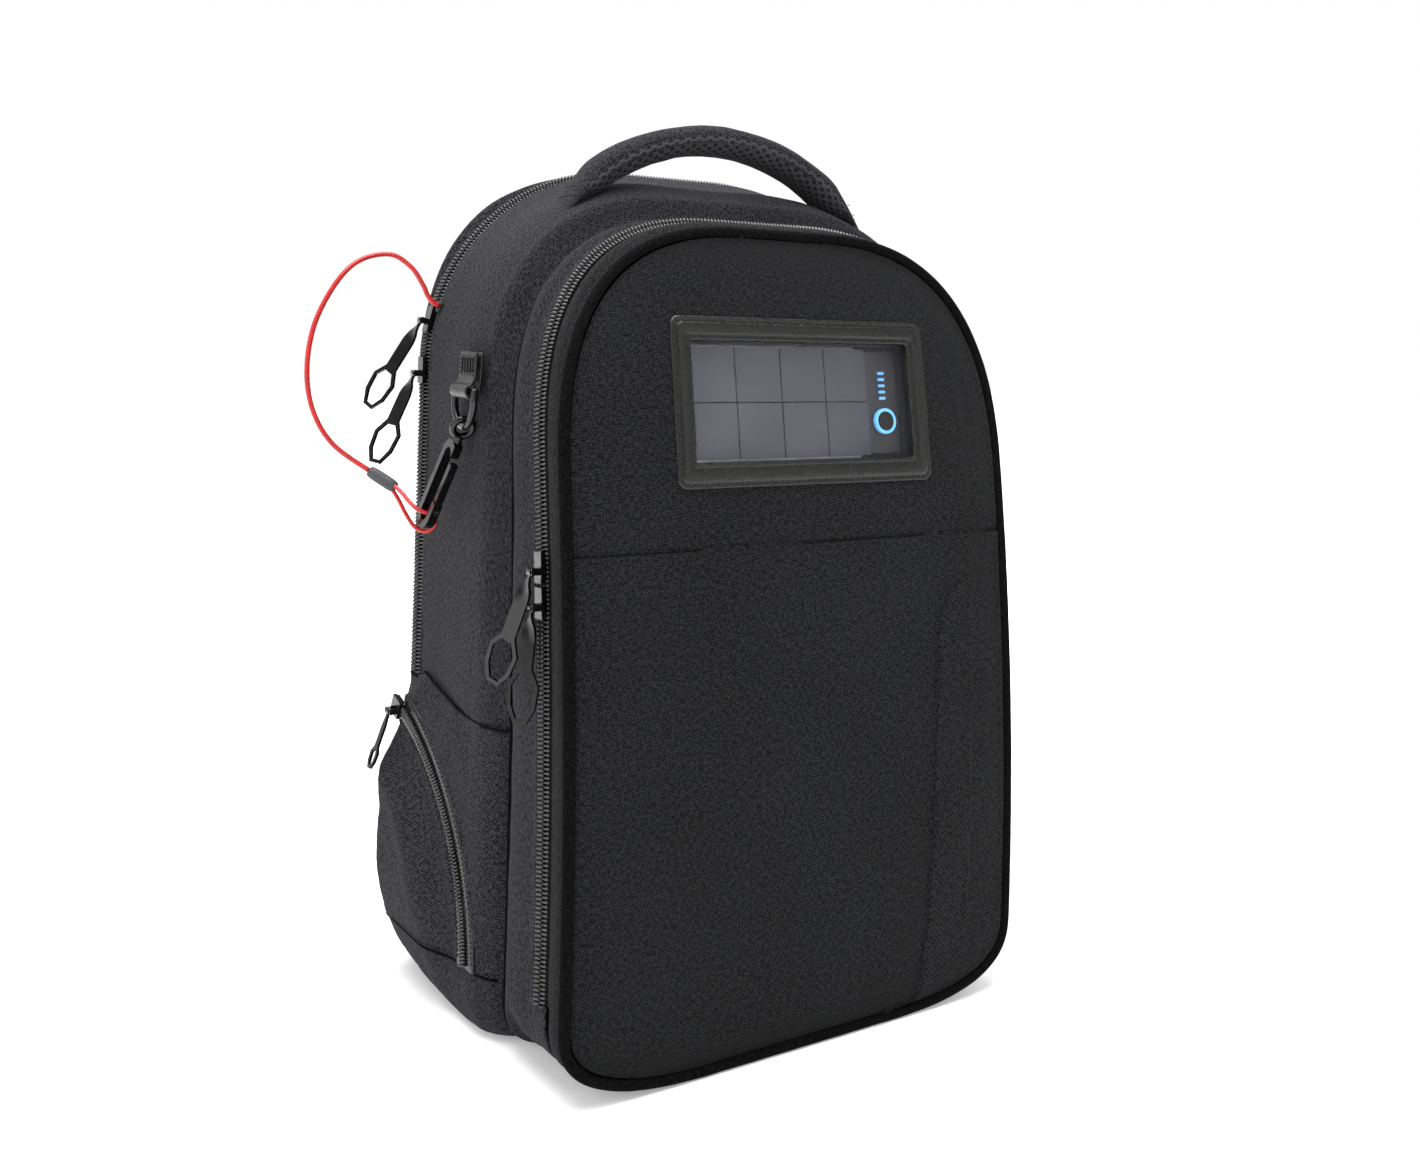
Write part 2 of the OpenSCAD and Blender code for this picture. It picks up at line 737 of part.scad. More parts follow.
module front_slider_upper() {
    color([0.05, 0.05, 0.05]) at_front_slider(front_slider_hi) slider();
}
module front_slider_lower() {
    color([0.05, 0.05, 0.05]) at_front_slider(front_slider_lo) slider();
}
module rear_slider_upper() {
    color([0.05, 0.05, 0.05]) at_rear_slider_upper() slider();
}
module rear_slider_lower() {
    color([0.05, 0.05, 0.05]) at_rear_slider_lower() slider();
}
module pocket_slider_left() {
    color([0.05, 0.05, 0.05]) pocket_slider();
}
module pocket_slider_right() {
    color([0.05, 0.05, 0.05]) mirror([1, 0, 0]) pocket_slider();
}

// A pull that hangs from its pin: an eye, a flat stem, and a six-sided ring for the fingers
module pull(length, ring_w, lean_out, turn) {
    ring_h = 2.9 * ring_w;
    low = -length;
    top = low + ring_h;
    translate([-pin_out, 0, pin_drop]) rotate([0, lean_out, 0]) difference() {
        union() {
            translate([0, -barrel_len / 2, 0]) rotate([-90, 0, 0])
                cylinder(r = barrel_r, h = barrel_len, $fn = 32);
            rotate([turn, 0, 0]) translate([-pull_t / 2, 0, 0]) rotate([90, 0, 90])
                linear_extrude(pull_t) difference() {
                    polygon([
                        [-1.1, 0], [-1.1, -4], [-ring_w * 0.45, -9], [-ring_w * 0.45, top],
                        [-ring_w, top - 0.3 * ring_h], [-ring_w * 0.9, low + 0.3 * ring_h],
                        [-ring_w * 0.4, low], [ring_w * 0.4, low], [ring_w * 0.9, low + 0.3 * ring_h],
                        [ring_w, top - 0.3 * ring_h], [ring_w * 0.45, top], [ring_w * 0.45, -9],
                        [1.1, -4], [1.1, 0]
                    ]);
                    polygon([
                        [-ring_w * 0.35, top - 3], [-ring_w + 2.2, top - 0.3 * ring_h - 0.6],
                        [-ring_w * 0.9 + 2.2, low + 0.3 * ring_h + 0.8], [-ring_w * 0.3, low + 2.2],
                        [ring_w * 0.3, low + 2.2], [ring_w * 0.9 - 2.2, low + 0.3 * ring_h + 0.8],
                        [ring_w - 2.2, top - 0.3 * ring_h - 0.6], [ring_w * 0.35, top - 3]
                    ]);
                }
        }
        translate([0, -10, 0]) rotate([-90, 0, 0]) cylinder(r = pin_r + run_fit, h = 20, $fn = 32);
    }
}

front_pull_lean = 11;
front_pull_turn = 24;
front_low_lean = 7;
front_low_turn = 2;
rear_pull_lean = 25;
rear_pull_turn = 18;
rear_low_lean = 26;
rear_low_turn = -8;
module front_pull_upper() {
    color([0.04, 0.04, 0.04]) at_front_slider(front_slider_hi)
        pull(pull_len + 2, ring_half, front_pull_lean, front_pull_turn);
}
module front_pull_lower() {
    color([0.04, 0.04, 0.04]) at_front_slider(front_slider_lo)
        pull(pull_len - 4, ring_half, front_low_lean, front_low_turn);
}
module rear_pull_upper() {
    color([0.04, 0.04, 0.04]) at_rear_slider_upper()
        pull(pull_len, ring_half, rear_pull_lean - rear_slider_turn, rear_pull_turn);
}
module rear_pull_lower() {
    color([0.04, 0.04, 0.04]) at_rear_slider_lower()
        pull(pull_len - 3, ring_half, rear_low_lean, rear_low_turn);
}

module pocket_pull() {
    at_pocket_slider() rotate([-pocket_arc_top, 0, 0]) pull(34, 4.5, 20, 0);
}
module pocket_pull_left() {
    color([0.04, 0.04, 0.04]) pocket_pull();
}
module pocket_pull_right() {
    color([0.04, 0.04, 0.04]) mirror([1, 0, 0]) pocket_pull();
}

// ---- Side ring, hook and lock cable ----

tab_w = 25;
tab_loop_r = 4.4;

module d_ring_tab() {
    color([0.07, 0.07, 0.07]) translate([ring_x, ring_y, ring_bar_z]) difference() {
        union() {
            translate([2.2, -tab_w / 2, 0]) cube([4, tab_w, 22]);
            translate([0, -tab_w / 2, 0]) rotate([-90, 0, 0])
                cylinder(r = tab_loop_r, h = tab_w, $fn = 40);
        }
        translate([0, -20, 0]) rotate([-90, 0, 0]) cylinder(r = ring_wire + run_fit, h = 40, $fn = 40);
    }
}

module d_ring() {
    span = ring_r + ring_wire;
    color([0.05, 0.05, 0.05]) translate([ring_x, ring_y, ring_bar_z]) {
        translate([0, -span, 0]) rotate([-90, 0, 0]) cylinder(r = ring_wire, h = 2 * span, $fn = 40);
        for (y = [-1, 1]) {
            translate([0, y * span, 0]) sphere(ring_wire, $fn = 40);
            translate([0, y * span, -ring_drop]) cylinder(r = ring_wire, h = ring_drop, $fn = 40);
        }
        translate([0, 0, -ring_drop]) rotate([90, 0, 90]) rotate([0, 0, 180])
            rotate_extrude(angle = 180, $fn = 64) translate([span, 0]) circle(ring_wire, $fn = 40);
    }
}

// The hook's frame: its origin on the bottom of the ring, its length down -Z
module at_hook() {
    translate([ring_x, ring_y, ring_bar_z - ring_drop - ring_r - ring_wire])
        rotate([hook_tilt, hook_lean, 0]) children();
}

module stadium(w, low, high) {
    translate([-w / 2, low + w / 2]) square([w, high - low - w]);
    for (z = [low + w / 2, high - w / 2]) translate([0, z]) circle(w / 2, $fn = 48);
}

module carabiner() {
    eye_r = 5.6;
    gap_w = hook_bar + 1.7;
    color([0.06, 0.06, 0.06]) at_hook() {
        translate([0, 0, -0.6]) rotate([90, 0, 0]) rotate_extrude($fn = 48)
            translate([eye_r, 0]) circle(1.9, $fn = 32);
        translate([0, 0, hook_top - 2]) cylinder(r = 2.4, h = 5.6, $fn = 32);
        rotate([0, 0, hook_turn]) {
            difference() {
                translate([-2.5, 0, 0]) rotate([90, 0, 90]) linear_extrude(5) difference() {
                    stadium(hook_w, hook_end, hook_top);
                    stadium(hook_w - 2 * hook_bar, hook_end + hook_bar, hook_top - hook_bar);
                }
                translate([-4, -11, -46]) cube([8, gap_w, -gate_tip + 26]);
                translate([-1.6, -11, gate_z - 4]) cube([3.2, gap_w, 9]);
            }
            translate([-2.5, gate_y, gate_z]) rotate([0, 90, 0])
                cylinder(r = pin_r, h = 5, $fn = 32);
        }
    }
}

module carabiner_gate() {
    color([0.08, 0.08, 0.08]) at_hook() rotate([0, 0, hook_turn]) difference() {
        union() {
            translate([-2.2, -9.3, gate_z + 4.5]) cube([4.4, 4.1, gate_tip - gate_z - 4.5]);
            translate([-1.3, -8.7, gate_z]) cube([2.6, 2.9, 6]);
            translate([-1.3, gate_y, gate_z]) rotate([0, 90, 0]) cylinder(r = 2.1, h = 2.6, $fn = 32);
        }
        translate([-5, gate_y, gate_z]) rotate([0, 90, 0])
            cylinder(r = pin_r + run_fit, h = 10, $fn = 32);
    }
}

module cable_gland() {
    color([0.05, 0.05, 0.05]) translate(gland_at) rotate([0, -90 + gland_slant, 0]) difference() {
        cylinder(r = 4, h = gland_h, $fn = 32);
        translate([0, 0, -1]) cylinder(r = cable_d / 2 + run_fit, h = gland_h + 2, $fn = 32);
    }
}

module lock_cable() {
    color([0.85, 0.1, 0.06]) tube(curve(CABLE, 3), cable_d / 2, 8);
}

module cable_end() {
    run = ferrule_to - ferrule_from;
    color([0.35, 0.35, 0.36]) translate(ferrule_from)
        rotate([0, acos(run[2] / norm(run)), atan2(run[1], run[0])])
            cylinder(r = ferrule_r, h = norm(run), $fn = 32);
    color([0.85, 0.1, 0.06]) at_hook() rotate([0, 0, hook_turn])
        tube(curve(EYE, 3), cable_d / 2 - 0.3, 8);
}

main_gusset();
rear_band_lower();
divider_panel();
front_gusset();
front_band_lower();
front_panel_lower();
front_piping_lower();
front_zip_body_side();
rear_zip_body_side();
back_panel_lower();
lumbar_pad();
laptop_sleeve();
organizer_pocket();
side_pockets();
pocket_zips();
handle_anchors();
d_ring_tab();
strap_webbings();
strap_anchors();
cable_gland();
lock_cable();
front_panel_upper();
front_band();
front_piping_upper();
front_zip_panel_side();
window_frame();
window_film();
power_bank_front();
power_bank_back();
solar_glass();
solar_cells();
battery_cells();
circuit_board();
status_lights();
usb_socket();
power_bank_sleeve();
power_button();
back_panel_upper();
rear_band();
rear_zip_panel_side();
back_pads();
shoulder_straps();
ladder_locks();
front_slider_upper();
front_slider_lower();
rear_slider_upper();
rear_slider_lower();
front_pull_upper();
front_pull_lower();
rear_pull_upper();
rear_pull_lower();
pocket_slider_left();
pocket_slider_right();
pocket_pull_left();
pocket_pull_right();
handle_grip();
d_ring();
carabiner();
carabiner_gate();
cable_end();
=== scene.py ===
"""The looks of a backpack with a solar power bank behind a window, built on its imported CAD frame."""
import json
import math

import bmesh
import bpy
import numpy as np
from mathutils import Matrix, Vector, noise

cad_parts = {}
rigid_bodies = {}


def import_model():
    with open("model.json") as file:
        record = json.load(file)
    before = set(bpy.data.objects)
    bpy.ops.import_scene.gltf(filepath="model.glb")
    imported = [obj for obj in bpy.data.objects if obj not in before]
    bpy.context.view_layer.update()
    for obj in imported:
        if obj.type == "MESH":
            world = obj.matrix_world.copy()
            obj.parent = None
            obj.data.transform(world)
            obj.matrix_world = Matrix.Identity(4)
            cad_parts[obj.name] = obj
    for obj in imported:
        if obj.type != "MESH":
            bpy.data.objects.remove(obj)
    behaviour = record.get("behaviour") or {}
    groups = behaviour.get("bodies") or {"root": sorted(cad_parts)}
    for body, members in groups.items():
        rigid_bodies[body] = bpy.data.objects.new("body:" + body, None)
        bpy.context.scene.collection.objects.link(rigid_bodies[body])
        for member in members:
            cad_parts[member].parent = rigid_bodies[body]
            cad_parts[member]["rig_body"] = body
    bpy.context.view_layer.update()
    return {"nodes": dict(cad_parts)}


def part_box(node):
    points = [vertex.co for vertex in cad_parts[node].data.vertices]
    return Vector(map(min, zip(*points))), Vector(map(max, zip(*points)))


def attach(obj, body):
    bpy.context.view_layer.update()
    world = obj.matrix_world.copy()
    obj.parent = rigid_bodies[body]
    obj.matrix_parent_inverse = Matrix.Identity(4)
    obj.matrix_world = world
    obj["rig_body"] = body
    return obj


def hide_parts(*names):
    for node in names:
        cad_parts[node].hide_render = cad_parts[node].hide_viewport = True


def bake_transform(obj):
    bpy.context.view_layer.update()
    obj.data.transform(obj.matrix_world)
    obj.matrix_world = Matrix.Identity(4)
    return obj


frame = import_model()
MM = 0.001

# ---- Sizes in millimetres, as the part's source has them ----

FRONT_W, FRONT_TOP, FRONT_Y = 290, 446, 100
LEAN_TOP, LEAN_FROM = 44, 60
REAR_W, REAR_TOP, REAR_ZIP_Y, BACK_Y = 322, 487, 88, 112
FRONT_FOLD, BACK_FOLD = 44.5, 177
FRONT_ZIP_Y = 25 - FRONT_Y
PIPING_R = 3
WALL = 2.4

# Outlines: half width, top, top corner width and height, foot width and height, bottom, power
PIPING_O = (FRONT_W / 2, FRONT_TOP, 120, 136, 90, 40, PIPING_R, 2.6)
FRONT_ZIP_O = (FRONT_W / 2 + 1, FRONT_TOP + 5, 120, 136, 80, 40, 2, 2.6)
SWELL_O = (FRONT_W / 2 + 5, FRONT_TOP + 8, 118, 134, 70, 42, 1, 2.6)
GROOVE_O = (FRONT_W / 2 + 3, FRONT_TOP + 9, 114, 130, 36, 28, 0, 2.5)
SHOULDER_O = (REAR_W / 2 - 5, REAR_TOP - 21, 116, 128, 22, 22, 0, 2.4)
RIDGE_O = (REAR_W / 2 - 1, REAR_TOP - 12, 120, 127, 14, 18, 0, 2.3)
CROWN_O = (REAR_W / 2, REAR_TOP - 4, 124, 126, 14, 18, 0, 2.1)
REAR_O = (REAR_W / 2, REAR_TOP, 125, 125, 20, 26, 0, 2)
BACK_O = (REAR_W / 2 - 10, REAR_TOP - 9, 118, 118, 34, 36, 4, 2)
LEAN_R = ((FRONT_TOP - LEAN_FROM) ** 2 + LEAN_TOP**2) / (2 * LEAN_TOP)

WINDOW_X, WINDOW_Z, WINDOW_TILT = 5, 352, math.radians(9.9)
WINDOW_IN, WINDOW_OUT = (148, 67), (172, 94)
FRONT_SEAM_Z = 273.5
HANDLE_R, HANDLE_TOP, HANDLE_Y, HANDLE_HALF = 138.4, 508, 24, 76

# The lock cable's way from its gland to its ferrule, and its loop, in the hook's frame
CABLE = [
    (-158.9, 78, 400.2), (-162.6, 78.2, 402.4), (-165.6, 78.8, 406.5), (-168, 79.6, 412),
    (-175, 81.5, 422.5), (-188, 82, 429.5), (-206, 82, 425), (-220, 80, 411), (-232, 78, 387),
    (-236, 76, 361), (-233, 72, 338), (-222.5, 67, 319), (-203.4, 60.3, 304.3),
]
FERRULE = [(-203, 60, 304), (-190.5, 50, 295)]
EYE = [
    (-16.9, 20.8, -54.9), (-13, 14.6, -55.6), (-9.6, 8.9, -57), (-6.2, 3.8, -57.8),
    (-1.8, 1.3, -58.2), (2.5, -0.9, -58.6), (5.4, -2, -61), (5.8, -1.8, -65),
    (3, -0.6, -69.4), (-2.5, 3.4, -70), (-8, 9.8, -66), (-12.8, 15.4, -61), (-16.9, 20.8, -57.7),
]
CABLE_R = 1.5
RING = (-166.5, 8, 353)
HOOK = (RING[0], RING[1], RING[2] - 20)
HOOK_TILT, HOOK_LEAN, HOOK_TURN = (math.radians(a) for a in (26, 11.5, 2))

HANDS = ((-1, "left"), (1, "right"))


# ---- Paths ----

def lean(z):
    """How far the front face lies back at a height."""
    d = np.clip(np.asarray(z, float) - LEAN_FROM, 0, None)
    return LEAN_R - np.sqrt(LEAN_R**2 - d**2)


def inset(o, t):
    return (o[0] - t, o[1] - t, o[2] - t / 2, o[3] - t / 2, o[4] - t / 2, o[5] - t / 2, o[6] + t, o[7])


def corner(n, power):
    t = np.linspace(0, math.pi / 2, n)
    return np.clip(np.sin(t), 0, 1) ** (2 / power), np.clip(np.cos(t), 0, 1) ** (2 / power)


def half_path(o, low=None):
    """The right half of an outline as X and Z, from the middle of its base, or from a height, to its top."""
    hw, top, ta, tb, ba, bb, bot, e = o
    rise, run = corner(34, e)
    foot = np.c_[hw - ba + ba * rise, bot + bb - bb * run]
    arc = np.c_[hw - ta + ta * run, top - tb + tb * rise]
    base = np.c_[np.linspace(0, hw - ba, 14)[:-1], np.full(13, bot)]
    side_low = bot + bb if low is None else low
    side = np.c_[np.full(60, hw), np.linspace(side_low, top - tb, 61)[:-1]]
    crest = np.c_[np.linspace(hw - ta, 0, 9)[1:], np.full(8, top)]
    start = [base, foot[:-1]] if low is None else []
    return np.concatenate([*start, side, arc, crest])


def whole_path(o, low=None):
    half = half_path(o, low)
    other = half[::-1][1:] * (-1, 1)
    return np.concatenate([half, other[:-1] if low is None else other])


def half_at(o, z):
    """Half the width of an outline at a height."""
    p = half_path(o)
    return np.interp(z, p[:, 1], p[:, 0])


def on_outline(o, out, y, k, low=None):
    p = whole_path(inset(o, -out), low)
    return np.c_[p[:, 0], y + k * lean(p[:, 1]), np.maximum(p[:, 1], 0.2)]


def through(curves, depth, steps):
    """Rows that run smoothly through some curves, which lie at the given depths."""
    p = np.stack(curves)
    depth = np.asarray(depth, float)
    slope = np.gradient(p, depth, axis=0)
    rows = []
    for i in range(len(p) - 1):
        gap = depth[i + 1] - depth[i]
        for t in np.linspace(0, 1, steps + 1)[: steps + (i == len(p) - 2)]:
            a, b = 2 * t**3 - 3 * t**2 + 1, t**3 - 2 * t**2 + t
            c, d = -2 * t**3 + 3 * t**2, t**3 - t**2
            rows.append(a * p[i] + b * gap * slope[i] + c * p[i + 1] + d * gap * slope[i + 1])
    return np.array(rows)


def smooth_line(points, steps):
    """A Catmull-Rom curve through points."""
    p = np.array(points, float)
    q = np.concatenate([p[:1], p, p[-1:]])
    out = []
    for i in range(len(p) - 1):
        a, b, c, d = q[i : i + 4]
        for t in np.arange(steps) / steps:
            out.append(0.5 * (2 * b + (c - a) * t + (2 * a - 5 * b + 4 * c - d) * t**2
                              + (3 * b - a - 3 * c + d) * t**3))
    return np.array(out + [p[-1]])


def unit(v):
    """Rows of a table, each scaled to a length of one."""
    return v / np.linalg.norm(v, axis=1)[:, None]


def signed_power(v, share):
    """A power that keeps each value's sign."""
    return np.sign(v) * np.abs(v) ** share


def length_of(line):
    return float(np.linalg.norm(np.diff(line, axis=0), axis=1).sum())


def spaced(line, pitch):
    """Points at equal steps along a line, and the way it runs at each."""
    s = np.concatenate([[0], np.cumsum(np.linalg.norm(np.diff(line, axis=0), axis=1))])
    at = np.linspace(0, s[-1], max(2, round(s[-1] / pitch) + 1))
    p = np.stack([np.interp(at, s, line[:, i]) for i in range(3)], 1)
    t = np.gradient(p, axis=0)
    return p, unit(t)


def ease(t):
    t = np.clip(t, 0, 1)
    return t * t * (3 - 2 * t)


# ---- Meshes ----

def mesh_object(name, points, faces):
    """A mesh from points in millimetres."""
    mesh = bpy.data.meshes.new(name)
    mesh.from_pydata((np.asarray(points, float) * MM).tolist(), [], [list(map(int, f)) for f in faces])
    mesh.validate()
    mesh.shade_smooth()
    piece = bpy.data.objects.new(name, mesh)
    bpy.context.scene.collection.objects.link(piece)
    return piece


def grid_faces(rows, cols, closed):
    i, j = np.meshgrid(np.arange(rows - 1), np.arange(cols if closed else cols - 1), indexing="ij")
    k = (j + 1) % cols
    return np.stack([i * cols + j, i * cols + k, (i + 1) * cols + k, (i + 1) * cols + j], -1).reshape(-1, 4)


def grid(name, rows, closed=False, inside=(0, 15, 230), keep=None):
    """A surface through rows of points, with UVs in metres. Its outer side faces away from a point inside."""
    rows = np.asarray(rows, float)
    r, n = rows.shape[:2]
    faces = grid_faces(r, n, closed)
    flat = rows.reshape(-1, 3)
    centre = flat[faces].mean(1)
    normal = np.cross(flat[faces[:, 2]] - flat[faces[:, 0]], flat[faces[:, 3]] - flat[faces[:, 1]])
    if (normal * (centre - np.array(inside))).sum() < 0:
        faces = faces[:, ::-1]
    wrap = np.concatenate([rows, rows[:, :1]], 1) if closed else rows
    u = np.concatenate([[0], np.cumsum(np.linalg.norm(np.diff(wrap, axis=1), axis=2).mean(0))]) * MM
    v = np.concatenate([[0], np.cumsum(np.linalg.norm(np.diff(rows, axis=0), axis=2).mean(1))]) * MM
    col, row = faces % n, faces // n
    if closed:
        edge = (col == 0) & (col.max(1, keepdims=True) == n - 1) & (n > 2)
        col = np.where(edge, n, col)
    uv = np.stack([u[col], v[row]], -1)
    if keep is not None:
        kept = keep(centre)
        faces, uv = faces[kept], uv[kept]
    piece = mesh_object(name, flat, faces)
    piece.data.uv_layers.new(name="UVMap").data.foreach_set("uv", uv.reshape(-1).astype(np.float32))
    if keep is not None:
        edit(piece, drop_loose)
    return piece


def swept(name, profile, depths, steps, **kind):
    """A surface through outlines. Each row of the profile is an outline, how far out, its Y and its lean."""
    return grid(name, through([on_outline(*row) for row in profile], depths, steps), **kind)


def edit(piece, change):
    b = bmesh.new()
    b.from_mesh(piece.data)
    change(b)
    b.to_mesh(piece.data)
    b.free()


def drop_loose(b):
    bmesh.ops.delete(b, geom=[v for v in b.verts if not v.link_faces], context="VERTS")


def close_ends(b):
    bmesh.ops.holes_fill(b, edges=b.edges)
    bmesh.ops.recalc_face_normals(b, faces=b.faces)


def thick(piece, thickness=WALL, offset=-1):
    """Gives a surface its thickness, inwards unless the offset says otherwise."""
    m = piece.modifiers.new("thickness", "SOLIDIFY")
    m.thickness, m.offset = thickness * MM, offset
    m.use_even_offset = False
    bpy.context.view_layer.update()
    mesh = bpy.data.meshes.new_from_object(piece.evaluated_get(bpy.context.evaluated_depsgraph_get()))
    piece.modifiers.clear()
    piece.data = mesh
    return piece


def crumple(piece, amount, size, seed=0):
    """Moves a surface in and out by soft noise, as cloth that isn't quite flat."""
    count = len(piece.data.vertices)
    points, normals = np.empty(count * 3), np.empty(count * 3)
    piece.data.vertices.foreach_get("co", points)
    piece.data.vertices.foreach_get("normal", normals)
    points, normals = points.reshape(-1, 3), normals.reshape(-1, 3)
    shift = Vector((seed * 7.3, seed * 3.1, seed * 5.7))
    places = [Vector(p) for p in points / (size * MM)]
    lift = np.array([noise.noise(p + shift) + 0.4 * noise.noise(p * 2.7 - shift) for p in places])
    points += normals * (amount * MM * lift)[:, None]
    points[:, 2] = np.maximum(points[:, 2], 0)
    piece.data.vertices.foreach_set("co", points.reshape(-1))
    piece.data.update()
    return piece


def across_line(line, side=(0, 1, 0.2)):
    """Two directions square to a line and to each other, at each of its points."""
    t = unit(np.gradient(line, axis=0))
    u = unit(np.cross(t, np.array(side, float)))
    return u, np.cross(t, u)


def tube(name, line, radius, sides=12, closed=False, side=(0, 1, 0.2)):
    """A round tube along a line."""
    line = np.asarray(line, float)
    u, v = across_line(line, side)
    if closed:
        u, v = (a[3:-3] for a in across_line(np.concatenate([line[-3:], line, line[:3]]), side))
    a = np.arange(sides) * 2 * math.pi / sides
    cos, sin = np.cos(a)[None, :, None], np.sin(a)[None, :, None]
    rings = line[:, None] + radius * (cos * u[:, None] + sin * v[:, None])
    if closed:
        rings = np.concatenate([rings, rings[:1]])
    piece = grid(name, rings, True, inside=(0, 0, 0))
    ends = [] if closed else [0, len(line) - 1]

    def finish(b):
        b.verts.ensure_lookup_table()
        for e in ends:
            b.faces.new([b.verts[e * sides + j] for j in range(sides)])
        if closed:
            bmesh.ops.remove_doubles(b, verts=b.verts, dist=1e-6)
        bmesh.ops.recalc_face_normals(b, faces=b.faces)

    edit(piece, finish)
    return piece


def beads(name, centres, along, across, up, size, profile):
    """Many small equal solids: at each centre, rings of a profile along one axis, tapered to its ends."""
    centres, along, across, up = (np.asarray(a, float) for a in (centres, along, across, up))
    rings, sides = len(profile), 6
    a = np.arange(sides) * 2 * math.pi / sides
    shape = np.array([
        [(s * size[0], w * size[1] * math.cos(t), w * size[2] * math.sin(t)) for t in a]
        for s, w in profile
    ]).reshape(-1, 3)
    basis = np.stack([along, across, up], 1)
    points = (centres[:, None] + np.einsum("kj,nji->nki", shape, basis)).reshape(-1, 3)
    one = grid_faces(rings, sides, True)
    caps = [list(range(sides))[::-1], list(range((rings - 1) * sides, rings * sides))]
    step = rings * sides
    faces = [f + i * step for i in range(len(centres)) for f in one]
    faces += [[x + i * step for x in c] for i in range(len(centres)) for c in caps]
    piece = mesh_object(name, points, faces)
    edit(piece, lambda b: bmesh.ops.recalc_face_normals(b, faces=b.faces))
    return piece


STITCH = [(-0.5, 0.35), (-0.38, 0.85), (0, 1), (0.38, 0.85), (0.5, 0.35)]


def stitches(name, line, outward, pitch=3.4, length=2.5, radius=0.38, lift=0.1):
    """A row of machine stitches along a line, which lies on a surface that faces outward."""
    p, t = spaced(np.asarray(line, float), pitch)
    out = np.asarray(outward(p) if callable(outward) else np.broadcast_to(outward, p.shape), float)
    out = unit(out - (out * t).sum(1)[:, None] * t)
    across = np.cross(out, t)
    piece = beads(name, p + out * lift, t, across, out, (length, radius, radius), STITCH)
    return finish_piece(piece, "thread")


def finish_piece(piece, look=None, body=None, replaces=()):
    """Gives a piece its material, slot and body, and hides the CAD nodes that it stands in for."""
    if look and not piece.data.materials:
        piece.data.materials.append(MATERIALS[look])
    if body:
        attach(piece, body)
    if replaces:
        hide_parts(*replaces)
    return piece


def fold(piece):
    """Bakes a sewn piece's transform into its mesh."""
    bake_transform(piece)


# ---- Materials ----

class Nodes:
    """One material, and short calls for building its nodes."""

    def __init__(self, name, base, roughness, metallic=0.0, **sockets):
        self.material = bpy.data.materials.new(name)
        self.material.use_nodes = True
        self.tree = self.material.node_tree
        self.bsdf = self.tree.nodes["Principled BSDF"]
        self.bsdf.inputs["Base Color"].default_value = (*base, 1)
        self.bsdf.inputs["Roughness"].default_value = roughness
        self.bsdf.inputs["Metallic"].default_value = metallic
        for key, value in sockets.items():
            self.bsdf.inputs[key.replace("_", " ")].default_value = value

    def add(self, kind, inputs=(), out=0, **settings):
        node = self.tree.nodes.new("ShaderNode" + kind)
        for key, value in settings.items():
            setattr(node, key, value)
        for key, value in dict(inputs).items():
            if isinstance(value, bpy.types.NodeSocket):
                self.tree.links.new(value, node.inputs[key])
            else:
                node.inputs[key].default_value = value
        return node.outputs[out]

    def math(self, how, a, b=0.0):
        return self.add("Math", {0: a, 1: b}, operation=how)

    def times(self, a, b):
        return self.math("MULTIPLY", a, b)

    def plus(self, a, b):
        return self.math("ADD", a, b)

    def wave(self, along, pitch, how="SINE"):
        """A wave along a length, with a pitch in millimetres."""
        return self.math(how, self.times(along, 2 * math.pi / (pitch * MM)))

    def mix(self, share, a, b):
        return self.add("Mix", {0: share, 6: (*a, 1), 7: (*b, 1)}, out=2, data_type="RGBA")

    def shades(self, share, base, low, high):
        """A mix of one colour's darker and lighter shades."""
        return self.mix(share, [c * low for c in base], [c * high for c in base])

    def coords(self, kind, scale=(1, 1, 1)):
        at = self.add("TexCoord", out=2 if kind == "UV" else 3)
        return self.add("Mapping", {"Vector": at, "Scale": scale})

    def axes(self, at):
        """X, Y and Z of a place."""
        return self.add("SeparateXYZ", {0: at}).node.outputs

    def noise(self, at, scale, detail=3.0, rough=0.5):
        return self.add("TexNoise", {"Vector": at, "Scale": scale, "Detail": detail, "Roughness": rough})

    def ramp(self, value, low, high, to_low=0.0, to_high=1.0):
        return self.add("MapRange", {0: value, 1: low, 2: high, 3: to_low, 4: to_high})

    def bump(self, height, depth):
        """Relief of a depth in millimetres."""
        relief = self.add("Bump", {"Height": height, "Distance": depth * MM, "Strength": 1.0})
        return self.to(relief, "Normal")

    def to(self, socket, name):
        self.tree.links.new(socket, self.bsdf.inputs[name])
        return self.material


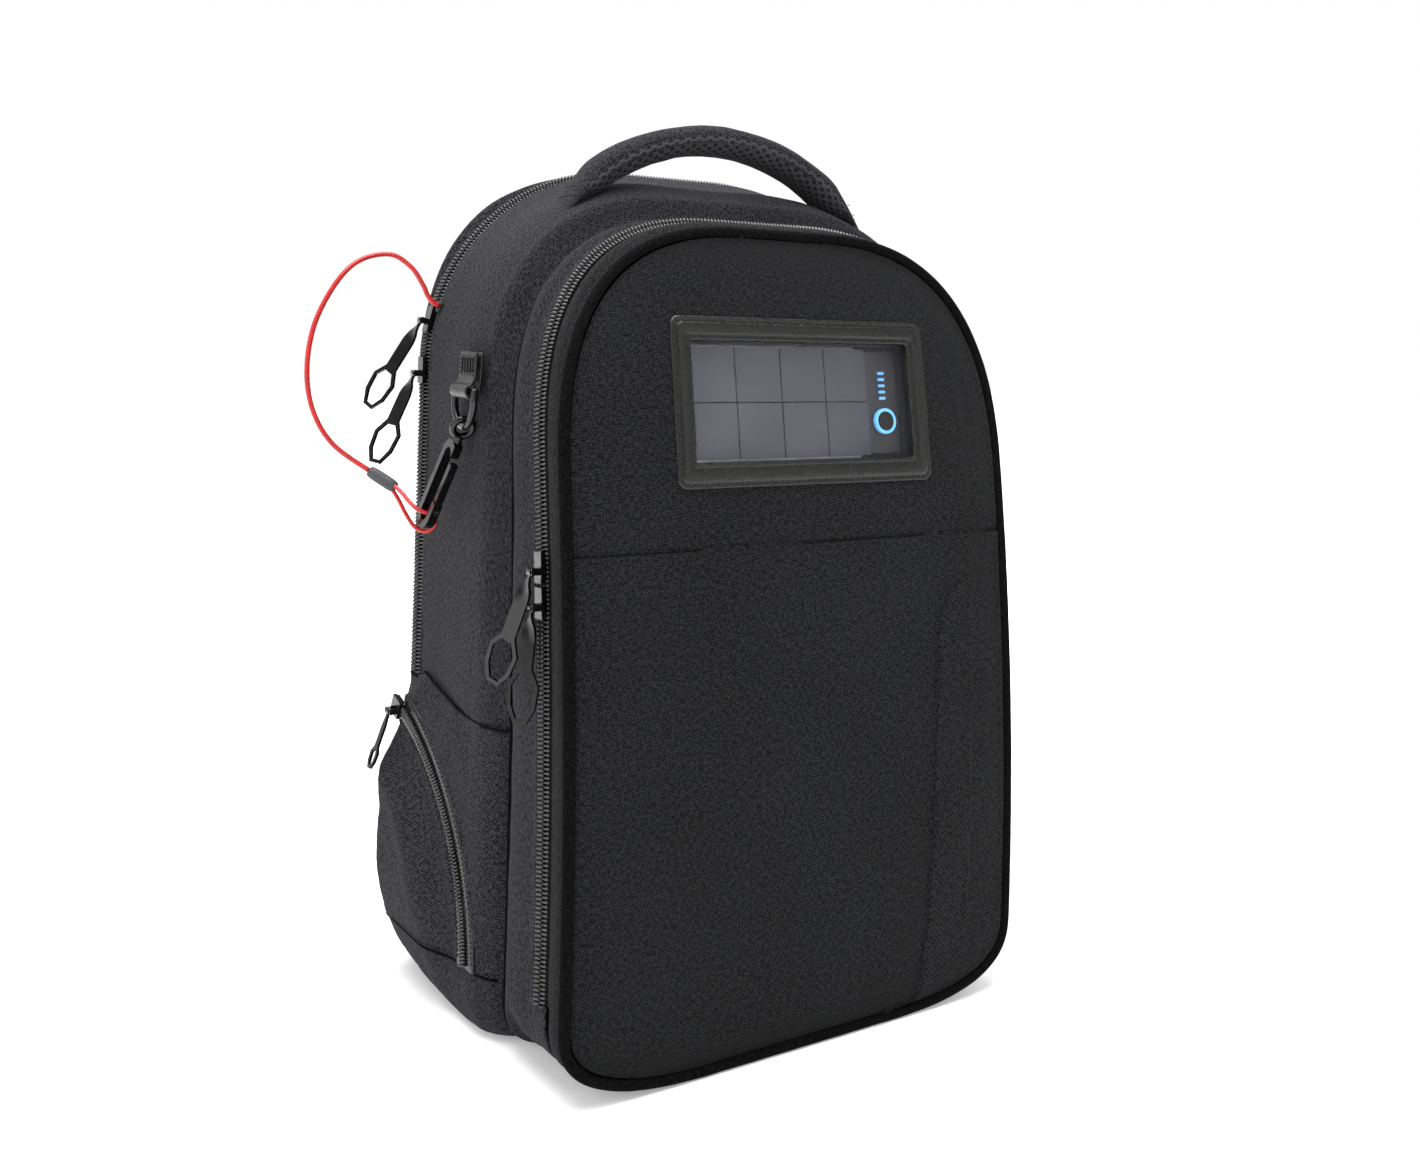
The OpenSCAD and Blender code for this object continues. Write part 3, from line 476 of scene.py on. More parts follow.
def cloth(name, dark, light, pitch=1.7, depth=0.34, sheen=0.02, spec=0.12):
    """Heathered twill: fine diagonal ribs of slubby two-tone yarn, with faint large patches."""
    n = Nodes(name, light, 0.9, Specular_IOR_Level=spec, Sheen_Weight=sheen, Sheen_Roughness=0.5)
    x, y, _ = n.axes(n.coords("UV"))
    rib = n.wave(n.plus(x, n.times(y, 0.55)), pitch)
    cross = n.wave(n.math("SUBTRACT", y, n.times(x, 0.2)), pitch)
    over = n.plus(n.times(rib, 0.6), n.times(cross, 0.4))
    warp = n.noise(n.coords("UV", (1250, 360, 360)), 1.0, 1.0)
    weft = n.noise(n.coords("UV", (360, 1250, 1250)), 1.0, 1.0)
    patch = n.noise(n.coords("OBJECT"), 14.0, 2.0)
    yarn = n.plus(n.times(warp, 0.5), n.times(weft, 0.5))
    tone = n.plus(n.ramp(yarn, 0.42, 0.58), n.times(over, 0.45))
    tone = n.plus(tone, n.ramp(patch, 0.3, 0.7, -0.08, 0.08))
    n.to(n.mix(tone, dark, light), "Base Color")
    return n.bump(n.plus(n.times(over, 0.5), yarn), depth)


def leather(name, base, rough, grain, spec):
    """Coated artificial leather: fine pebbled grain, soft creases, a little uneven in its shine."""
    n = Nodes(name, base, rough, Specular_IOR_Level=spec, Coat_Weight=0.1, Coat_Roughness=0.3)
    at = n.coords("OBJECT")
    pebble = n.add("TexVoronoi", {"Vector": at, "Scale": 900.0}, feature="SMOOTH_F1")
    crease = n.noise(at, 190.0, 4.0, 0.65)
    n.to(n.ramp(n.noise(at, 45.0), 0.3, 0.7, rough - 0.08, rough + 0.12), "Roughness")
    n.to(n.shades(crease, base, 0.7, 1.5), "Base Color")
    return n.bump(n.plus(n.times(pebble, 0.5), n.times(crease, 3.2)), grain)


def coated_metal(name, base, rough, metallic=0.7):
    """Black coated zinc: glossy, with a faint orange-peel and rubbed patches."""
    n = Nodes(name, base, rough, metallic, Coat_Weight=0.35, Coat_Roughness=0.12)
    at = n.coords("OBJECT")
    rub = n.noise(at, 90.0, 5.0, 0.65)
    n.to(n.ramp(rub, 0.35, 0.75, rough - 0.06, rough + 0.14), "Roughness")
    n.to(n.shades(n.ramp(rub, 0.55, 0.8), base, 1, 2.6), "Base Color")
    return n.bump(n.noise(at, 700.0, 2.0), 0.03)


def moulded(name, base, rough):
    """Moulded plastic with a fine grain."""
    n = Nodes(name, base, rough, Specular_IOR_Level=0.4)
    at = n.coords("OBJECT")
    n.to(n.ramp(n.noise(at, 60.0), 0.3, 0.7, rough - 0.05, rough + 0.08), "Roughness")
    return n.bump(n.noise(at, 1300.0, 2.0), 0.05)


def air_mesh(name, base, kind="OBJECT", pitch=3.4):
    """Spacer mesh: staggered rows of open cells, darkened inside by painted shade."""
    n = Nodes(name, base, 0.75, Specular_IOR_Level=0.2, Sheen_Weight=0.03)
    at = n.coords(kind)
    x, y, z = n.axes(at)
    if kind != "UV":
        x, y = n.plus(x, n.times(y, 0.7)), z
    a = n.wave(n.plus(x, n.times(y, 0.58)), pitch, "COSINE")
    b = n.wave(n.math("SUBTRACT", x, n.times(y, 0.58)), pitch, "COSINE")
    hole_and_shade = n.ramp(n.plus(a, b), 0.15, 0.95)
    # Painted shade: the open cells are darkened to a small share of the mesh's colour.
    n.to(n.shades(hole_and_shade, base, 1.5, 0.12), "Base Color")
    return n.bump(n.math("SUBTRACT", n.times(n.noise(at, 1500.0, 2.0), 0.25), hole_and_shade), 0.9)


def ribbed(name, base, pitch):
    """Woven tape or webbing, with ribs across it."""
    n = Nodes(name, base, 0.6, Specular_IOR_Level=0.25, Sheen_Weight=0.03)
    x, y, _ = n.axes(n.coords("UV"))
    rib, cross = n.wave(x, pitch), n.wave(y, pitch / 1.4)
    yarn = n.noise(n.coords("OBJECT"), 1200.0, 2.0)
    n.to(n.shades(n.ramp(n.plus(n.times(rib, 0.3), yarn), 0.1, 0.9), base, 0.6, 1.5), "Base Color")
    return n.bump(n.plus(n.plus(rib, n.times(cross, 0.5)), n.times(yarn, 0.5)), 0.1)


def solar_cells():
    """Dark violet-grey cells: fine silver fingers across, a bus bar, slightly uneven crystal tone."""
    n = Nodes("solar", (0.06, 0.06, 0.1), 0.3, Specular_IOR_Level=0.4, Coat_Weight=0.15, Coat_Roughness=0.2)
    at = n.coords("OBJECT")
    x, _, z = n.axes(at)
    fingers = n.ramp(n.wave(z, 1.9, "COSINE"), 0.93, 0.99, 0, 0.15)
    bus_bars = n.ramp(n.wave(x, 15.1, "COSINE"), 0.985, 0.995, 0, 0.3)
    tone = n.mix(n.ramp(n.noise(at, 30.0), 0.3, 0.7), (0.034, 0.034, 0.05), (0.05, 0.05, 0.068))
    silver = n.add("Mix", {0: n.math("MAXIMUM", fingers, bus_bars), 6: tone, 7: (0.085, 0.085, 0.1, 1)},
                   out=2, data_type="RGBA")
    return n.to(silver, "Base Color")


def clear(name, tint, rough, alpha):
    """A clear sheet that isn't quite flat."""
    n = Nodes(name, tint, rough, Alpha=alpha, Specular_IOR_Level=0.4)
    return n.bump(n.noise(n.coords("OBJECT"), 35.0, 2.0), 0.1)


def glowing(name, colour, strength):
    """Small lights behind a diffusing cover: a little uneven in their strength."""
    n = Nodes(name, colour, 0.3, Emission_Color=(*colour, 1))
    spread = n.noise(n.coords("OBJECT"), 420.0, 2.0)
    return n.to(n.ramp(spread, 0.3, 0.7, strength * 0.8, strength * 1.2), "Emission Strength")


def sheathed(name, base, rough):
    """A cable's clear-coated sheath, with the lay of its strands just showing through."""
    n = Nodes(name, base, rough, Coat_Weight=0.4, Coat_Roughness=0.08, Specular_IOR_Level=0.35)
    x, y, _ = n.axes(n.coords("UV"))
    lay = n.wave(n.plus(x, y), 1.6)
    dirt = n.ramp(n.noise(n.coords("OBJECT"), 55.0), 0.3, 0.7)
    n.to(n.shades(n.plus(n.times(lay, 0.12), dirt), base, 0.8, 1.15), "Base Color")
    return n.bump(lay, 0.04)


MATERIALS = {
    "body": cloth("body_fabric", (0.001, 0.001, 0.0013), (0.033, 0.032, 0.038)),
    # Painted shade: the front's cloth is the body's cloth at about half its brightness, standing for the
    # front's weaker light.
    "panel": cloth("panel_fabric", (0.0006, 0.0006, 0.0008), (0.0155, 0.016, 0.0175)),
    "pad": cloth("pad_fabric", (0.003, 0.003, 0.0035), (0.032, 0.032, 0.035)),
    "lining": cloth("lining_cloth", (0.01, 0.01, 0.012), (0.045, 0.045, 0.05), pitch=0.8),
    "tape": ribbed("zip_tape", (0.0035, 0.0035, 0.0038), 0.9),
    "webbing": ribbed("webbing", (0.007, 0.007, 0.0075), 1.5),
    "piping": cloth("piping_fabric", (0.0005, 0.0005, 0.0006), (0.005, 0.005, 0.0055),
                    depth=0.14, sheen=0, spec=0.05),
    "coated": leather("coated_tape", (0.0025, 0.0025, 0.0027), 0.26, 0.03, spec=0.3),
    "leather": leather("leather", (0.004, 0.0037, 0.0032), 0.28, 0.3, spec=0.32),
    "thread": moulded("thread", (0.002, 0.002, 0.002), 0.55),
    "coil": coated_metal("zip_coil", (0.02, 0.02, 0.02), 0.2, 0.3),
    "mesh": air_mesh("air_mesh", (0.008, 0.008, 0.009)),
    "mesh_uv": air_mesh("air_mesh_strip", (0.022, 0.022, 0.024), "UV", 4.6),
    "metal": coated_metal("pull_metal", (0.005, 0.005, 0.005), 0.24),
    "ring": coated_metal("ring_metal", (0.02, 0.02, 0.021), 0.18, 0.9),
    "hook": coated_metal("hook_metal", (0.006, 0.006, 0.006), 0.16),
    "plastic": moulded("black_plastic", (0.006, 0.006, 0.0065), 0.42),
    "bank": moulded("bank_case", (0.012, 0.012, 0.012), 0.45),
    "glass": clear("cover_glass", (0.2, 0.2, 0.24), 0.12, 0.05),
    "film": clear("window_film", (0.3, 0.31, 0.34), 0.25, 0.02),
    "solar": solar_cells(),
    "lights": glowing("lights", (0.13, 0.42, 0.85), 0.45),
    "red": sheathed("cable_red", (0.42, 0.005, 0.003), 0.34),
    "ferrule": moulded("ferrule", (0.04, 0.041, 0.043), 0.55),
    "pouch": coated_metal("battery_pouch", (0.3, 0.3, 0.32), 0.35, 0.8),
    "board": moulded("board", (0.022, 0.022, 0.023), 0.4),
    "socket": coated_metal("socket_steel", (0.3, 0.3, 0.31), 0.3, 1.0),
}


# ---- Camera, light and floor ----

def make_camera():
    place, heading, roll = (-0.427, -0.6959, 0.3935), -30.65, 1.71
    cam = bpy.data.objects.new("camera", bpy.data.cameras.new("camera"))
    bpy.context.scene.collection.objects.link(cam)
    cam.data.sensor_width, cam.data.lens, cam.data.shift_y = 36, 33.82, -0.1805
    turns = ((heading, "Z"), (90, "X"), (roll, "Z"))
    a, b, c = (Matrix.Rotation(math.radians(turn), 4, axis) for turn, axis in turns)
    cam.matrix_world = Matrix.Translation(place) @ (a @ b) @ c
    bpy.context.scene.camera = cam


FLOOR_HALF = 6e3

# Each soft light: its place, what it is aimed at, its two sides and its power
LIGHTS = {
    "left": ((-1.5, -0.35, 0.9), (0, 0, 0.25), (0.9, 1.4), 11),
    "top": ((-0.2, -0.1, 1.7), (0, 0, 0.2), (1.4, 1.4), 46),
    "front": ((0.7, -1.8, 1.0), (0, 0, 0.25), (1.2, 1.2), 6),
    "rim": ((1.3, 0.9, 0.8), (0, 0, 0.3), (0.6, 1.2), 8),
}


def area_light(name, at, aim, size, watts):
    data = bpy.data.lights.new(name, "AREA")
    data.shape, data.size, data.size_y, data.energy = "RECTANGLE", *size, watts
    lamp = bpy.data.objects.new(name, data)
    bpy.context.scene.collection.objects.link(lamp)
    lamp.location = at
    lamp.rotation_euler = (Vector(aim) - Vector(at)).to_track_quat("-Z", "Y").to_euler()


def make_studio():
    """A white room that is darker behind the camera, soft lights, and a floor that fades into white."""
    world = bpy.data.worlds.new("studio")
    bpy.context.scene.world = world
    world.use_nodes = True
    tree = world.node_tree
    at = tree.nodes.new("ShaderNodeTexCoord").outputs["Generated"]
    shade = tree.nodes.new("ShaderNodeMapRange")
    shade.interpolation_type = "SMOOTHSTEP"
    along = tree.nodes.new("ShaderNodeVectorMath")
    along.operation = "DOT_PRODUCT"
    along.inputs[1].default_value = (0.51, 0.86, 0)
    tree.links.new(at, along.inputs[0])
    tree.links.new(along.outputs["Value"], shade.inputs[0])
    for k, value in enumerate((-0.2, 0.55, 0.42, 1.0)):
        shade.inputs[k + 1].default_value = value
    tree.links.new(shade.outputs[0], tree.nodes["Background"].inputs["Strength"])
    tree.nodes["Background"].inputs["Color"].default_value = (1, 1, 1, 1)
    bpy.context.scene.view_settings.view_transform = "Standard"
    for name, light in LIGHTS.items():
        area_light(name, *light)
    corners = [(x * FLOOR_HALF, y * FLOOR_HALF, 0) for x, y in ((-1, -1), (1, -1), (1, 1), (-1, 1))]
    floor = mesh_object("floor", corners, [(0, 1, 2, 3)])
    n = Nodes("floor_white", (0.92, 0.92, 0.92), 0.9, Specular_IOR_Level=0.1, Emission_Color=(1, 1, 1, 1))
    at = n.coords("OBJECT")
    far = n.ramp(n.add("VectorMath", {0: at}, out=1, operation="LENGTH"), 0.45, 1.3, 0.24, 1.0)
    n.to(far, "Emission Strength")
    floor.data.materials.append(n.bump(n.noise(at, 300.0), 0.1))


# ---- Lock cable ----

def at_hook(points):
    """From the hook's frame to the row's, in millimetres."""
    turns = ((HOOK_LEAN, "Y"), (HOOK_TILT, "X"), (HOOK_TURN, "Z"))
    a, b, c = (Matrix.Rotation(angle, 3, axis) for angle, axis in turns)
    m = a @ b @ c
    return np.array(points, float) @ np.array(m).T + np.array(HOOK)


def make_cable():
    ferrule_line = np.linspace(*np.array(FERRULE, float), 13)
    widths = 3.6 - 0.9 * np.abs(np.linspace(-1, 1, 13)) ** 6
    u, v = across_line(ferrule_line)
    a = np.arange(24) * math.pi / 12
    oval = np.cos(a)[None, :, None] * u[:, None] + 0.78 * np.sin(a)[None, :, None] * v[:, None]
    ferrule = grid("ferrule", ferrule_line[:, None] + widths[:, None, None] * oval, True)
    edit(ferrule, close_ends)
    finish_piece(ferrule, "ferrule", "d_ring", ["cable_end"])
    loop = tube("cable_loop", at_hook(smooth_line(EYE, 8)), CABLE_R - 0.3, 14, side=(0.3, 1, 0.2))
    finish_piece(loop, "red", "d_ring")
    route = smooth_line(CABLE, 10)
    cable = tube("lock_cable_strand", route, CABLE_R, 16)
    finish_piece(cable, "red", None, ["lock_cable"])
    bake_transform(cable)
    gland = refined("cable_gland", "plastic", 0.5)


def refined(node, look, bevel=0.3, segments=2):
    """A CAD piece of the right shape, copied with its sharp edges broken, so that they catch the light."""
    source = frame["nodes"][node]
    points = np.array([v.co for v in source.data.vertices]) / MM
    piece = mesh_object(node + "_finished", points, [list(p.vertices) for p in source.data.polygons])

    def soften(b):
        bmesh.ops.remove_doubles(b, verts=b.verts, dist=2e-6)
        bmesh.ops.dissolve_limit(b, angle_limit=math.radians(1.5), verts=b.verts, edges=b.edges)
        sharp = [e for e in b.edges if len(e.link_faces) == 2 and e.calc_face_angle(0) > math.radians(32)]
        bmesh.ops.bevel(b, geom=sharp, offset=bevel * MM, segments=segments, affect="EDGES",
                        clamp_overlap=True)

    edit(piece, soften)
    piece.data.shade_smooth()
    piece.data.set_sharp_from_angle(angle=math.radians(38))
    return finish_piece(piece, look, source["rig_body"], [node])


# ---- Front panel ----

FRONT_EDGE = whole_path(PIPING_O)


def from_edge(x, z):
    p = np.stack([np.ravel(x), np.ravel(z)], 1)
    return np.linalg.norm(p[:, None] - FRONT_EDGE[None], axis=2).min(1).reshape(np.shape(x))


def on_front(x, z, out=0.0):
    """Points on the padded front face, some way out from it."""
    x, z = np.broadcast_arrays(np.asarray(x, float), np.asarray(z, float))
    puff = 1.7 * ease((from_edge(x, z) - 3) / 16)
    return np.stack([x, -FRONT_Y + lean(z) - puff - out, z], -1)


def pocket_seam(z):
    heights = [9, 52, 121, 180, 215, 230, 238, 244, 248]
    return np.interp(z, heights, [75.7, 82.6, 85.8, 88.6, 90.6, 93, 98, 106, 118.8])


def pocket_stitch(z):
    return np.interp(z, [9, 58, 233, 248], [110, 113, 116.5, 120])


def make_front_panel():
    edge_o = inset(PIPING_O, PIPING_R + 0.2)
    fine = FRONT_SEAM_Z + np.array([-6, -3, -1.6, -0.9, -0.5, -0.2, 0.1, 0.4, 0.8, 1.6, 3])
    low, high = edge_o[6] + 0.1, edge_o[1] - 0.1
    z = np.unique(np.concatenate([np.linspace(low, high, 130), low + np.array([0.6, 1.4, 2.4]),
                                  high - np.array([0.3, 0.8, 1.6]), fine]))
    half = half_at(edge_o, z)
    seam = np.minimum(pocket_seam(z), half * 0.82)
    back = np.minimum(pocket_stitch(z), half * 0.9)
    left = -half[:, None] + (seam + half)[:, None] * np.linspace(0, 1, 76)
    middle = (seam + 0.3)[:, None] + (back - seam - 0.3)[:, None] * np.linspace(0, 1, 9)
    right = back[:, None] + (half - back)[:, None] * np.linspace(0, 1, 10)[1:]
    x = np.concatenate([left, middle, right], 1)
    zz = np.repeat(z[:, None], x.shape[1], 1)
    flap = 1.2 * (1 - ease((x - seam[:, None]) / (back - seam)[:, None])) * (x > seam[:, None] + 0.1)
    flap *= ease((249 - zz) / 4)
    below = zz < FRONT_SEAM_Z
    lip = np.where(below, 0.9 * np.exp(-(FRONT_SEAM_Z - zz) / 7), -1.1 * np.exp(-(zz - FRONT_SEAM_Z) / 2.2))
    rows = on_front(x, zz, flap + lip)

    def keep(c):
        inside = (np.abs(c[:, 0] - WINDOW_X) < WINDOW_IN[0] / 2 + 4)
        return ~(inside & (np.abs(c[:, 2] - WINDOW_Z) < WINDOW_IN[1] / 2 + 4))

    panel = grid("front_panel", rows, inside=(0, 300, 230), keep=keep)
    crumple(panel, 0.35, 70, 3)
    thick(panel, 2.0)
    finish_piece(panel, "panel", None, ["front_panel_upper", "front_panel_lower"])
    fold(panel)
    flap_z, back_z = np.linspace(14, 246, 120), np.linspace(30, 240, 90)
    for name, line in (
        ("pocket_flap_stitches", on_front(pocket_seam(flap_z) + 2.2, flap_z, 1.0)),
        ("pocket_back_stitches", on_front(pocket_stitch(back_z), back_z, 0.05)),
    ):
        fold(stitches(name, line, (0, -1, 0), 2.6, 1.9, 0.22, 0))


def make_front_edge():
    line = on_outline(PIPING_O, 0, -FRONT_Y + 1, 1)
    piping = crumple(tube("front_piping", line, PIPING_R, 16, closed=True, side=(0, 1, 0.1)), 0.12, 12, 5)
    finish_piece(piping, "piping", None, ["front_piping_upper", "front_piping_lower"])
    fold(piping)
    profile = [
        (PIPING_O, -0.8, -FRONT_Y + 2.5, 1), (PIPING_O, 0.9, -FRONT_Y + 7, 1),
        (FRONT_ZIP_O, 0.8, FRONT_ZIP_Y - 13, 1), (FRONT_ZIP_O, 0.3, FRONT_ZIP_Y - 9.5, 1),
        (FRONT_ZIP_O, -1.4, FRONT_ZIP_Y - 8.7, 1),
    ]
    band = swept("front_band_cloth", profile, [0, 4, 11, 14.5, 15.7], 4, closed=True)
    band = thick(crumple(band, 0.3, 40, 7))
    finish_piece(band, "panel", None, ["front_band", "front_band_lower"])
    fold(band)
    line = on_outline(FRONT_ZIP_O, 0.75, FRONT_ZIP_Y - 11, 1)
    fold(stitches("front_band_stitches", line, out_from_middle, 3.0, 2.2, 0.3))


def out_and_forward(p):
    """The way that a zip faces on the rounded edge of its compartment."""
    return unit(out_from_middle(p)) - np.array([0, 0.75, 0])


def out_from_middle(p):
    """The outward way on the sides, top and base, at points on an outline."""
    n = np.zeros_like(p)
    t = np.gradient(p, axis=0)
    n[:, 0], n[:, 2] = t[:, 2], -t[:, 0]
    away = p - np.array([0, 0, 235])
    n *= np.sign((n * away).sum(1))[:, None]
    return n


# ---- Zips ----

def zip_row(name, line, outward, side, toward=None, pitch=2.3, width=4.0):
    """One row of a coil zip. side is 1 or -1: to the back or front, or away from a point or towards it."""
    p, t = spaced(line, pitch)
    if side > 0:
        p = p[:-1] + np.diff(p, axis=0) / 2
        t = t[:-1]
    out = outward(p) if callable(outward) else np.broadcast_to(np.asarray(outward, float), p.shape)
    out = unit(out - (out * t).sum(1)[:, None] * t)
    across = np.cross(out, t)
    way = np.array([0, 1.0, 0]) if toward is None else p - toward
    across *= np.sign((across * way).sum(1))[:, None]
    shape = [(-0.5, 0.35), (-0.42, 0.85), (0.3, 1), (0.5, 0.5)]
    centres = p + across * side * (width / 2 - 0.15)
    row = beads(name, centres, across * side, t, out, (width, pitch * 0.4, 1.5), shape)
    return finish_piece(row, "coil")


def zip_tape(name, o, y, k, low, side):
    to_back = [(0.3, 0.2), (3.2, 1.3), (6.0, 0.9), (9.0, -1.0)]
    to_front = [(0.3, 0), (3.5, -1.4), (8.5, -1.4), (12, -1.6)]
    steps = to_back if side > 0 else to_front
    rows = np.stack([on_outline(o, out, y + side * d, k, low) for d, out in steps])
    return finish_piece(thick(grid(name, rows), 0.6), "tape")


def make_zips():
    for kind, o, y, k, low, moving in (
        ("front", FRONT_ZIP_O, FRONT_ZIP_Y, 1, FRONT_FOLD + 1, "front_panel"),
        ("rear", REAR_O, REAR_ZIP_Y, 0, BACK_FOLD + 1, "back_panel"),
    ):
        line = on_outline(o, 1.3, y, k, low)
        body_side = 1 if kind == "front" else -1
        for side in (-1, 1):
            part, body = ("body", "root") if side == body_side else ("panel", moving)
            row = zip_row(f"{kind}_coil_{part}", line, out_and_forward, side)
            finish_piece(row, None, body, [f"{kind}_zip_{part}_side"])
            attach(zip_tape(f"{kind}_tape_{part}", o, y, k, low, side), body)


# ---- Gussets ----

def make_front_gusset():
    profile = [
        (FRONT_ZIP_O, -0.3, FRONT_ZIP_Y + 6.2, 1), (FRONT_ZIP_O, 1.5, FRONT_ZIP_Y + 7.6, 1),
        (FRONT_ZIP_O, 2.1, FRONT_ZIP_Y + 12, 0.95), (SWELL_O, 1.0, -50, 0.75), (SWELL_O, 0.5, -38, 0.6),
        (GROOVE_O, 0.2, -32.5, 0.5), (GROOVE_O, -3.5, -29.6, 0.5), (GROOVE_O, -9, -28.5, 0.5),
    ]
    gusset = swept("front_gusset_cloth", profile, [0, 2.2, 7, 21, 33, 39, 43.7, 49.3], 5, closed=True)
    gusset = thick(crumple(gusset, 0.9, 48, 11))
    finish_piece(gusset, "body", "root", ["front_gusset"])
    line = on_outline(FRONT_ZIP_O, 1.85, FRONT_ZIP_Y + 9.6, 1, FRONT_FOLD)
    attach(stitches("front_gusset_stitches", line, out_from_middle, 3.0, 2.2, 0.3), "root")
    profile = [(FRONT_ZIP_O, 0.9, FRONT_ZIP_Y - 5.2, 1), (FRONT_ZIP_O, 1.5, FRONT_ZIP_Y, 1),
               (FRONT_ZIP_O, 1.9, FRONT_ZIP_Y + 8, 1)]
    foot_trim("front_zip_foot", profile, [0, 5, 13], 3, FRONT_FOLD, 1.2)


def foot_trim(name, profile, depths, steps, fold_z, thickness):
    """The cloth that covers both ends of a zip and the base between them."""
    trim = swept(name, profile, depths, steps, closed=True, keep=lambda c: c[:, 2] < fold_z + 1)
    finish_piece(thick(trim, thickness), "body", "root")


def make_main_gusset():
    profile = [
        (GROOVE_O, -9, -28.1, 0.5), (GROOVE_O, -3.5, -27.2, 0.5), (GROOVE_O, 0.2, -23.4, 0.48),
        (SHOULDER_O, 0.8, -12, 0.3), (SHOULDER_O, 3.2, 2, 0.1), (RIDGE_O, 0.6, 20, 0),
        (CROWN_O, 0.3, 60, 0), (REAR_O, 1.2, 76, 0), (REAR_O, 1.2, 81.6, 0), (REAR_O, -0.3, 83.2, 0),
    ]
    depths = [-5.5, 0, 6, 18, 32, 50, 90, 106, 111.6, 113.8]
    gusset = thick(crumple(swept("main_gusset_cloth", profile, depths, 6, closed=True), 1.1, 55, 17))
    finish_piece(gusset, "body", "root", ["main_gusset"])
    # Painted shade: a thin tube of the dark piping cloth lies deep in the groove, as the groove's dark line
    # of shade.
    line = on_outline(GROOVE_O, -0.9, -28.4, 0.5)
    shade_line = tube("groove_shade_line", line, 1.2, 10, closed=True, side=(0, 1, 0.1))
    finish_piece(shade_line, "piping", "root")
    line = on_outline(REAR_O, 1.3, 79.6, 0, BACK_FOLD)
    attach(stitches("main_gusset_stitches", line, out_from_middle, 3.0, 2.2, 0.28), "root")


def shoulder_bulge(curve, amount):
    """Swells an outline at its two upper corners, where the stuffed fabric stands out behind the zip."""
    x, z = np.abs(curve[:, 0]) - (REAR_O[0] - REAR_O[2]), curve[:, 2] - (REAR_O[1] - REAR_O[3])
    away = unit(np.stack([x, z], 1))
    share = np.exp(-((np.degrees(np.arctan2(z, x)) - 46) / 30) ** 2) * (z > 0)
    lift = (amount * share)[:, None] * away
    return curve + np.stack([lift[:, 0] * np.sign(curve[:, 0]), np.zeros(len(curve)), lift[:, 1]], 1)


def make_rear_band():
    rows = through([
        on_outline(REAR_O, -0.3, REAR_ZIP_Y + 4.8, 0), on_outline(REAR_O, 1.2, REAR_ZIP_Y + 6.4, 0),
        shoulder_bulge(on_outline(REAR_O, 1.0, REAR_ZIP_Y + 10, 0), 5.5),
        shoulder_bulge(on_outline(BACK_O, 4.5, BACK_Y - 9, 0), 9), on_outline(BACK_O, 0.5, BACK_Y - 0.5, 0),
        on_outline(BACK_O, -4, BACK_Y + 1.5, 0),
    ], [0, 2.2, 6, 15, 25, 29], 6)
    band = thick(crumple(grid("rear_band_cloth", rows, True, inside=(0, 60, 240)), 0.7, 42, 23))
    finish_piece(band, "body", None, ["rear_band", "rear_band_lower"])
    fold(band)
    profile = [(REAR_O, 0.7, 77, 0), (REAR_O, 1.2, REAR_ZIP_Y, 0), (REAR_O, 0.8, REAR_ZIP_Y + 8.5, 0)]
    foot_trim("rear_zip_foot", profile, [0, 11, 20], 4, BACK_FOLD, 1.0)


# ---- Window and power bank ----

def rounded_rect(w, h, r, n=7):
    """A rounded rectangle as U and V, with points along its straight sides."""
    points = []
    for q, (sx, sy) in enumerate(((1, 1), (-1, 1), (-1, -1), (1, -1))):
        for a in np.linspace(0, math.pi / 2, n) + q * math.pi / 2:
            points.append((sx * (w / 2 - r) + r * math.cos(a), sy * (h / 2 - r) + r * math.sin(a)))
    points = np.array(points)
    out = []
    for p, q in zip(points, np.roll(points, -1, axis=0)):
        parts = 30 if np.linalg.norm(q - p) > 20 else 1
        out += [p + (q - p) * t for t in np.arange(parts) / parts]
    return np.array(out)


def frame_ring(share, out):
    """One ring of the leather frame, from its inner edge at 0 to its outer edge at 1."""
    w, h = (a + (b - a) * share for a, b in zip(WINDOW_IN, WINDOW_OUT))
    p = rounded_rect(w, h, 1.5 + 4 * max(share, 0))
    return on_front(WINDOW_X + p[:, 0], WINDOW_Z + p[:, 1] * math.cos(WINDOW_TILT), out)


def make_window():
    profile = [
        (-0.03, -2.6), (-0.02, -0.4), (0, 0.8), (0.05, 1.5), (0.12, 1.5), (0.19, 0.7), (0.26, 1.5),
        (0.36, 1.9), (0.5, 2.0), (0.64, 1.9), (0.74, 1.5), (0.81, 0.7), (0.88, 1.4), (0.95, 1.35),
        (1, 0.7), (1.005, -0.3),
    ]
    rings = [frame_ring(share, out) for share, out in profile]
    leather_frame = crumple(grid("window_frame_leather", rings, True, inside=(0, 300, 352)), 0.16, 11, 31)
    finish_piece(leather_frame, "leather", "front_panel", ["window_frame"])
    for name, share in (("window_stitches_inner", 0.19), ("window_stitches_outer", 0.81)):
        line = frame_ring(share, 0.85)
        row = stitches(name, np.concatenate([line, line[:1]]), (0, -1, 0), 3.7, 2.5, 0.62, 0.1)
        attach(row, "front_panel")
    u, v = np.meshgrid(np.linspace(-75, 75, 40), np.linspace(-34, 34, 20))
    film = grid("window_film_sheet", on_front(WINDOW_X + u, WINDOW_Z + v, -0.2), inside=(0, 300, 352))
    finish_piece(crumple(film, 0.12, 40, 37), "film", "front_panel", ["window_film"])
    for node, look, bevel in (
        ("power_bank_front", "bank", 0.6), ("power_bank_back", "bank", 0.8), ("solar_glass", "glass", 0.15),
        ("battery_cells", "pouch", 1.2), ("circuit_board", "board", 0.1), ("status_lights", "lights", 0.12),
        ("power_button", "plastic", 0.5), ("usb_socket", "socket", 0.15),
        ("power_bank_sleeve", "lining", 0.7), ("solar_cells", "solar", 0.05),
    ):
        refined(node, look, bevel)


# ---- Side pockets ----

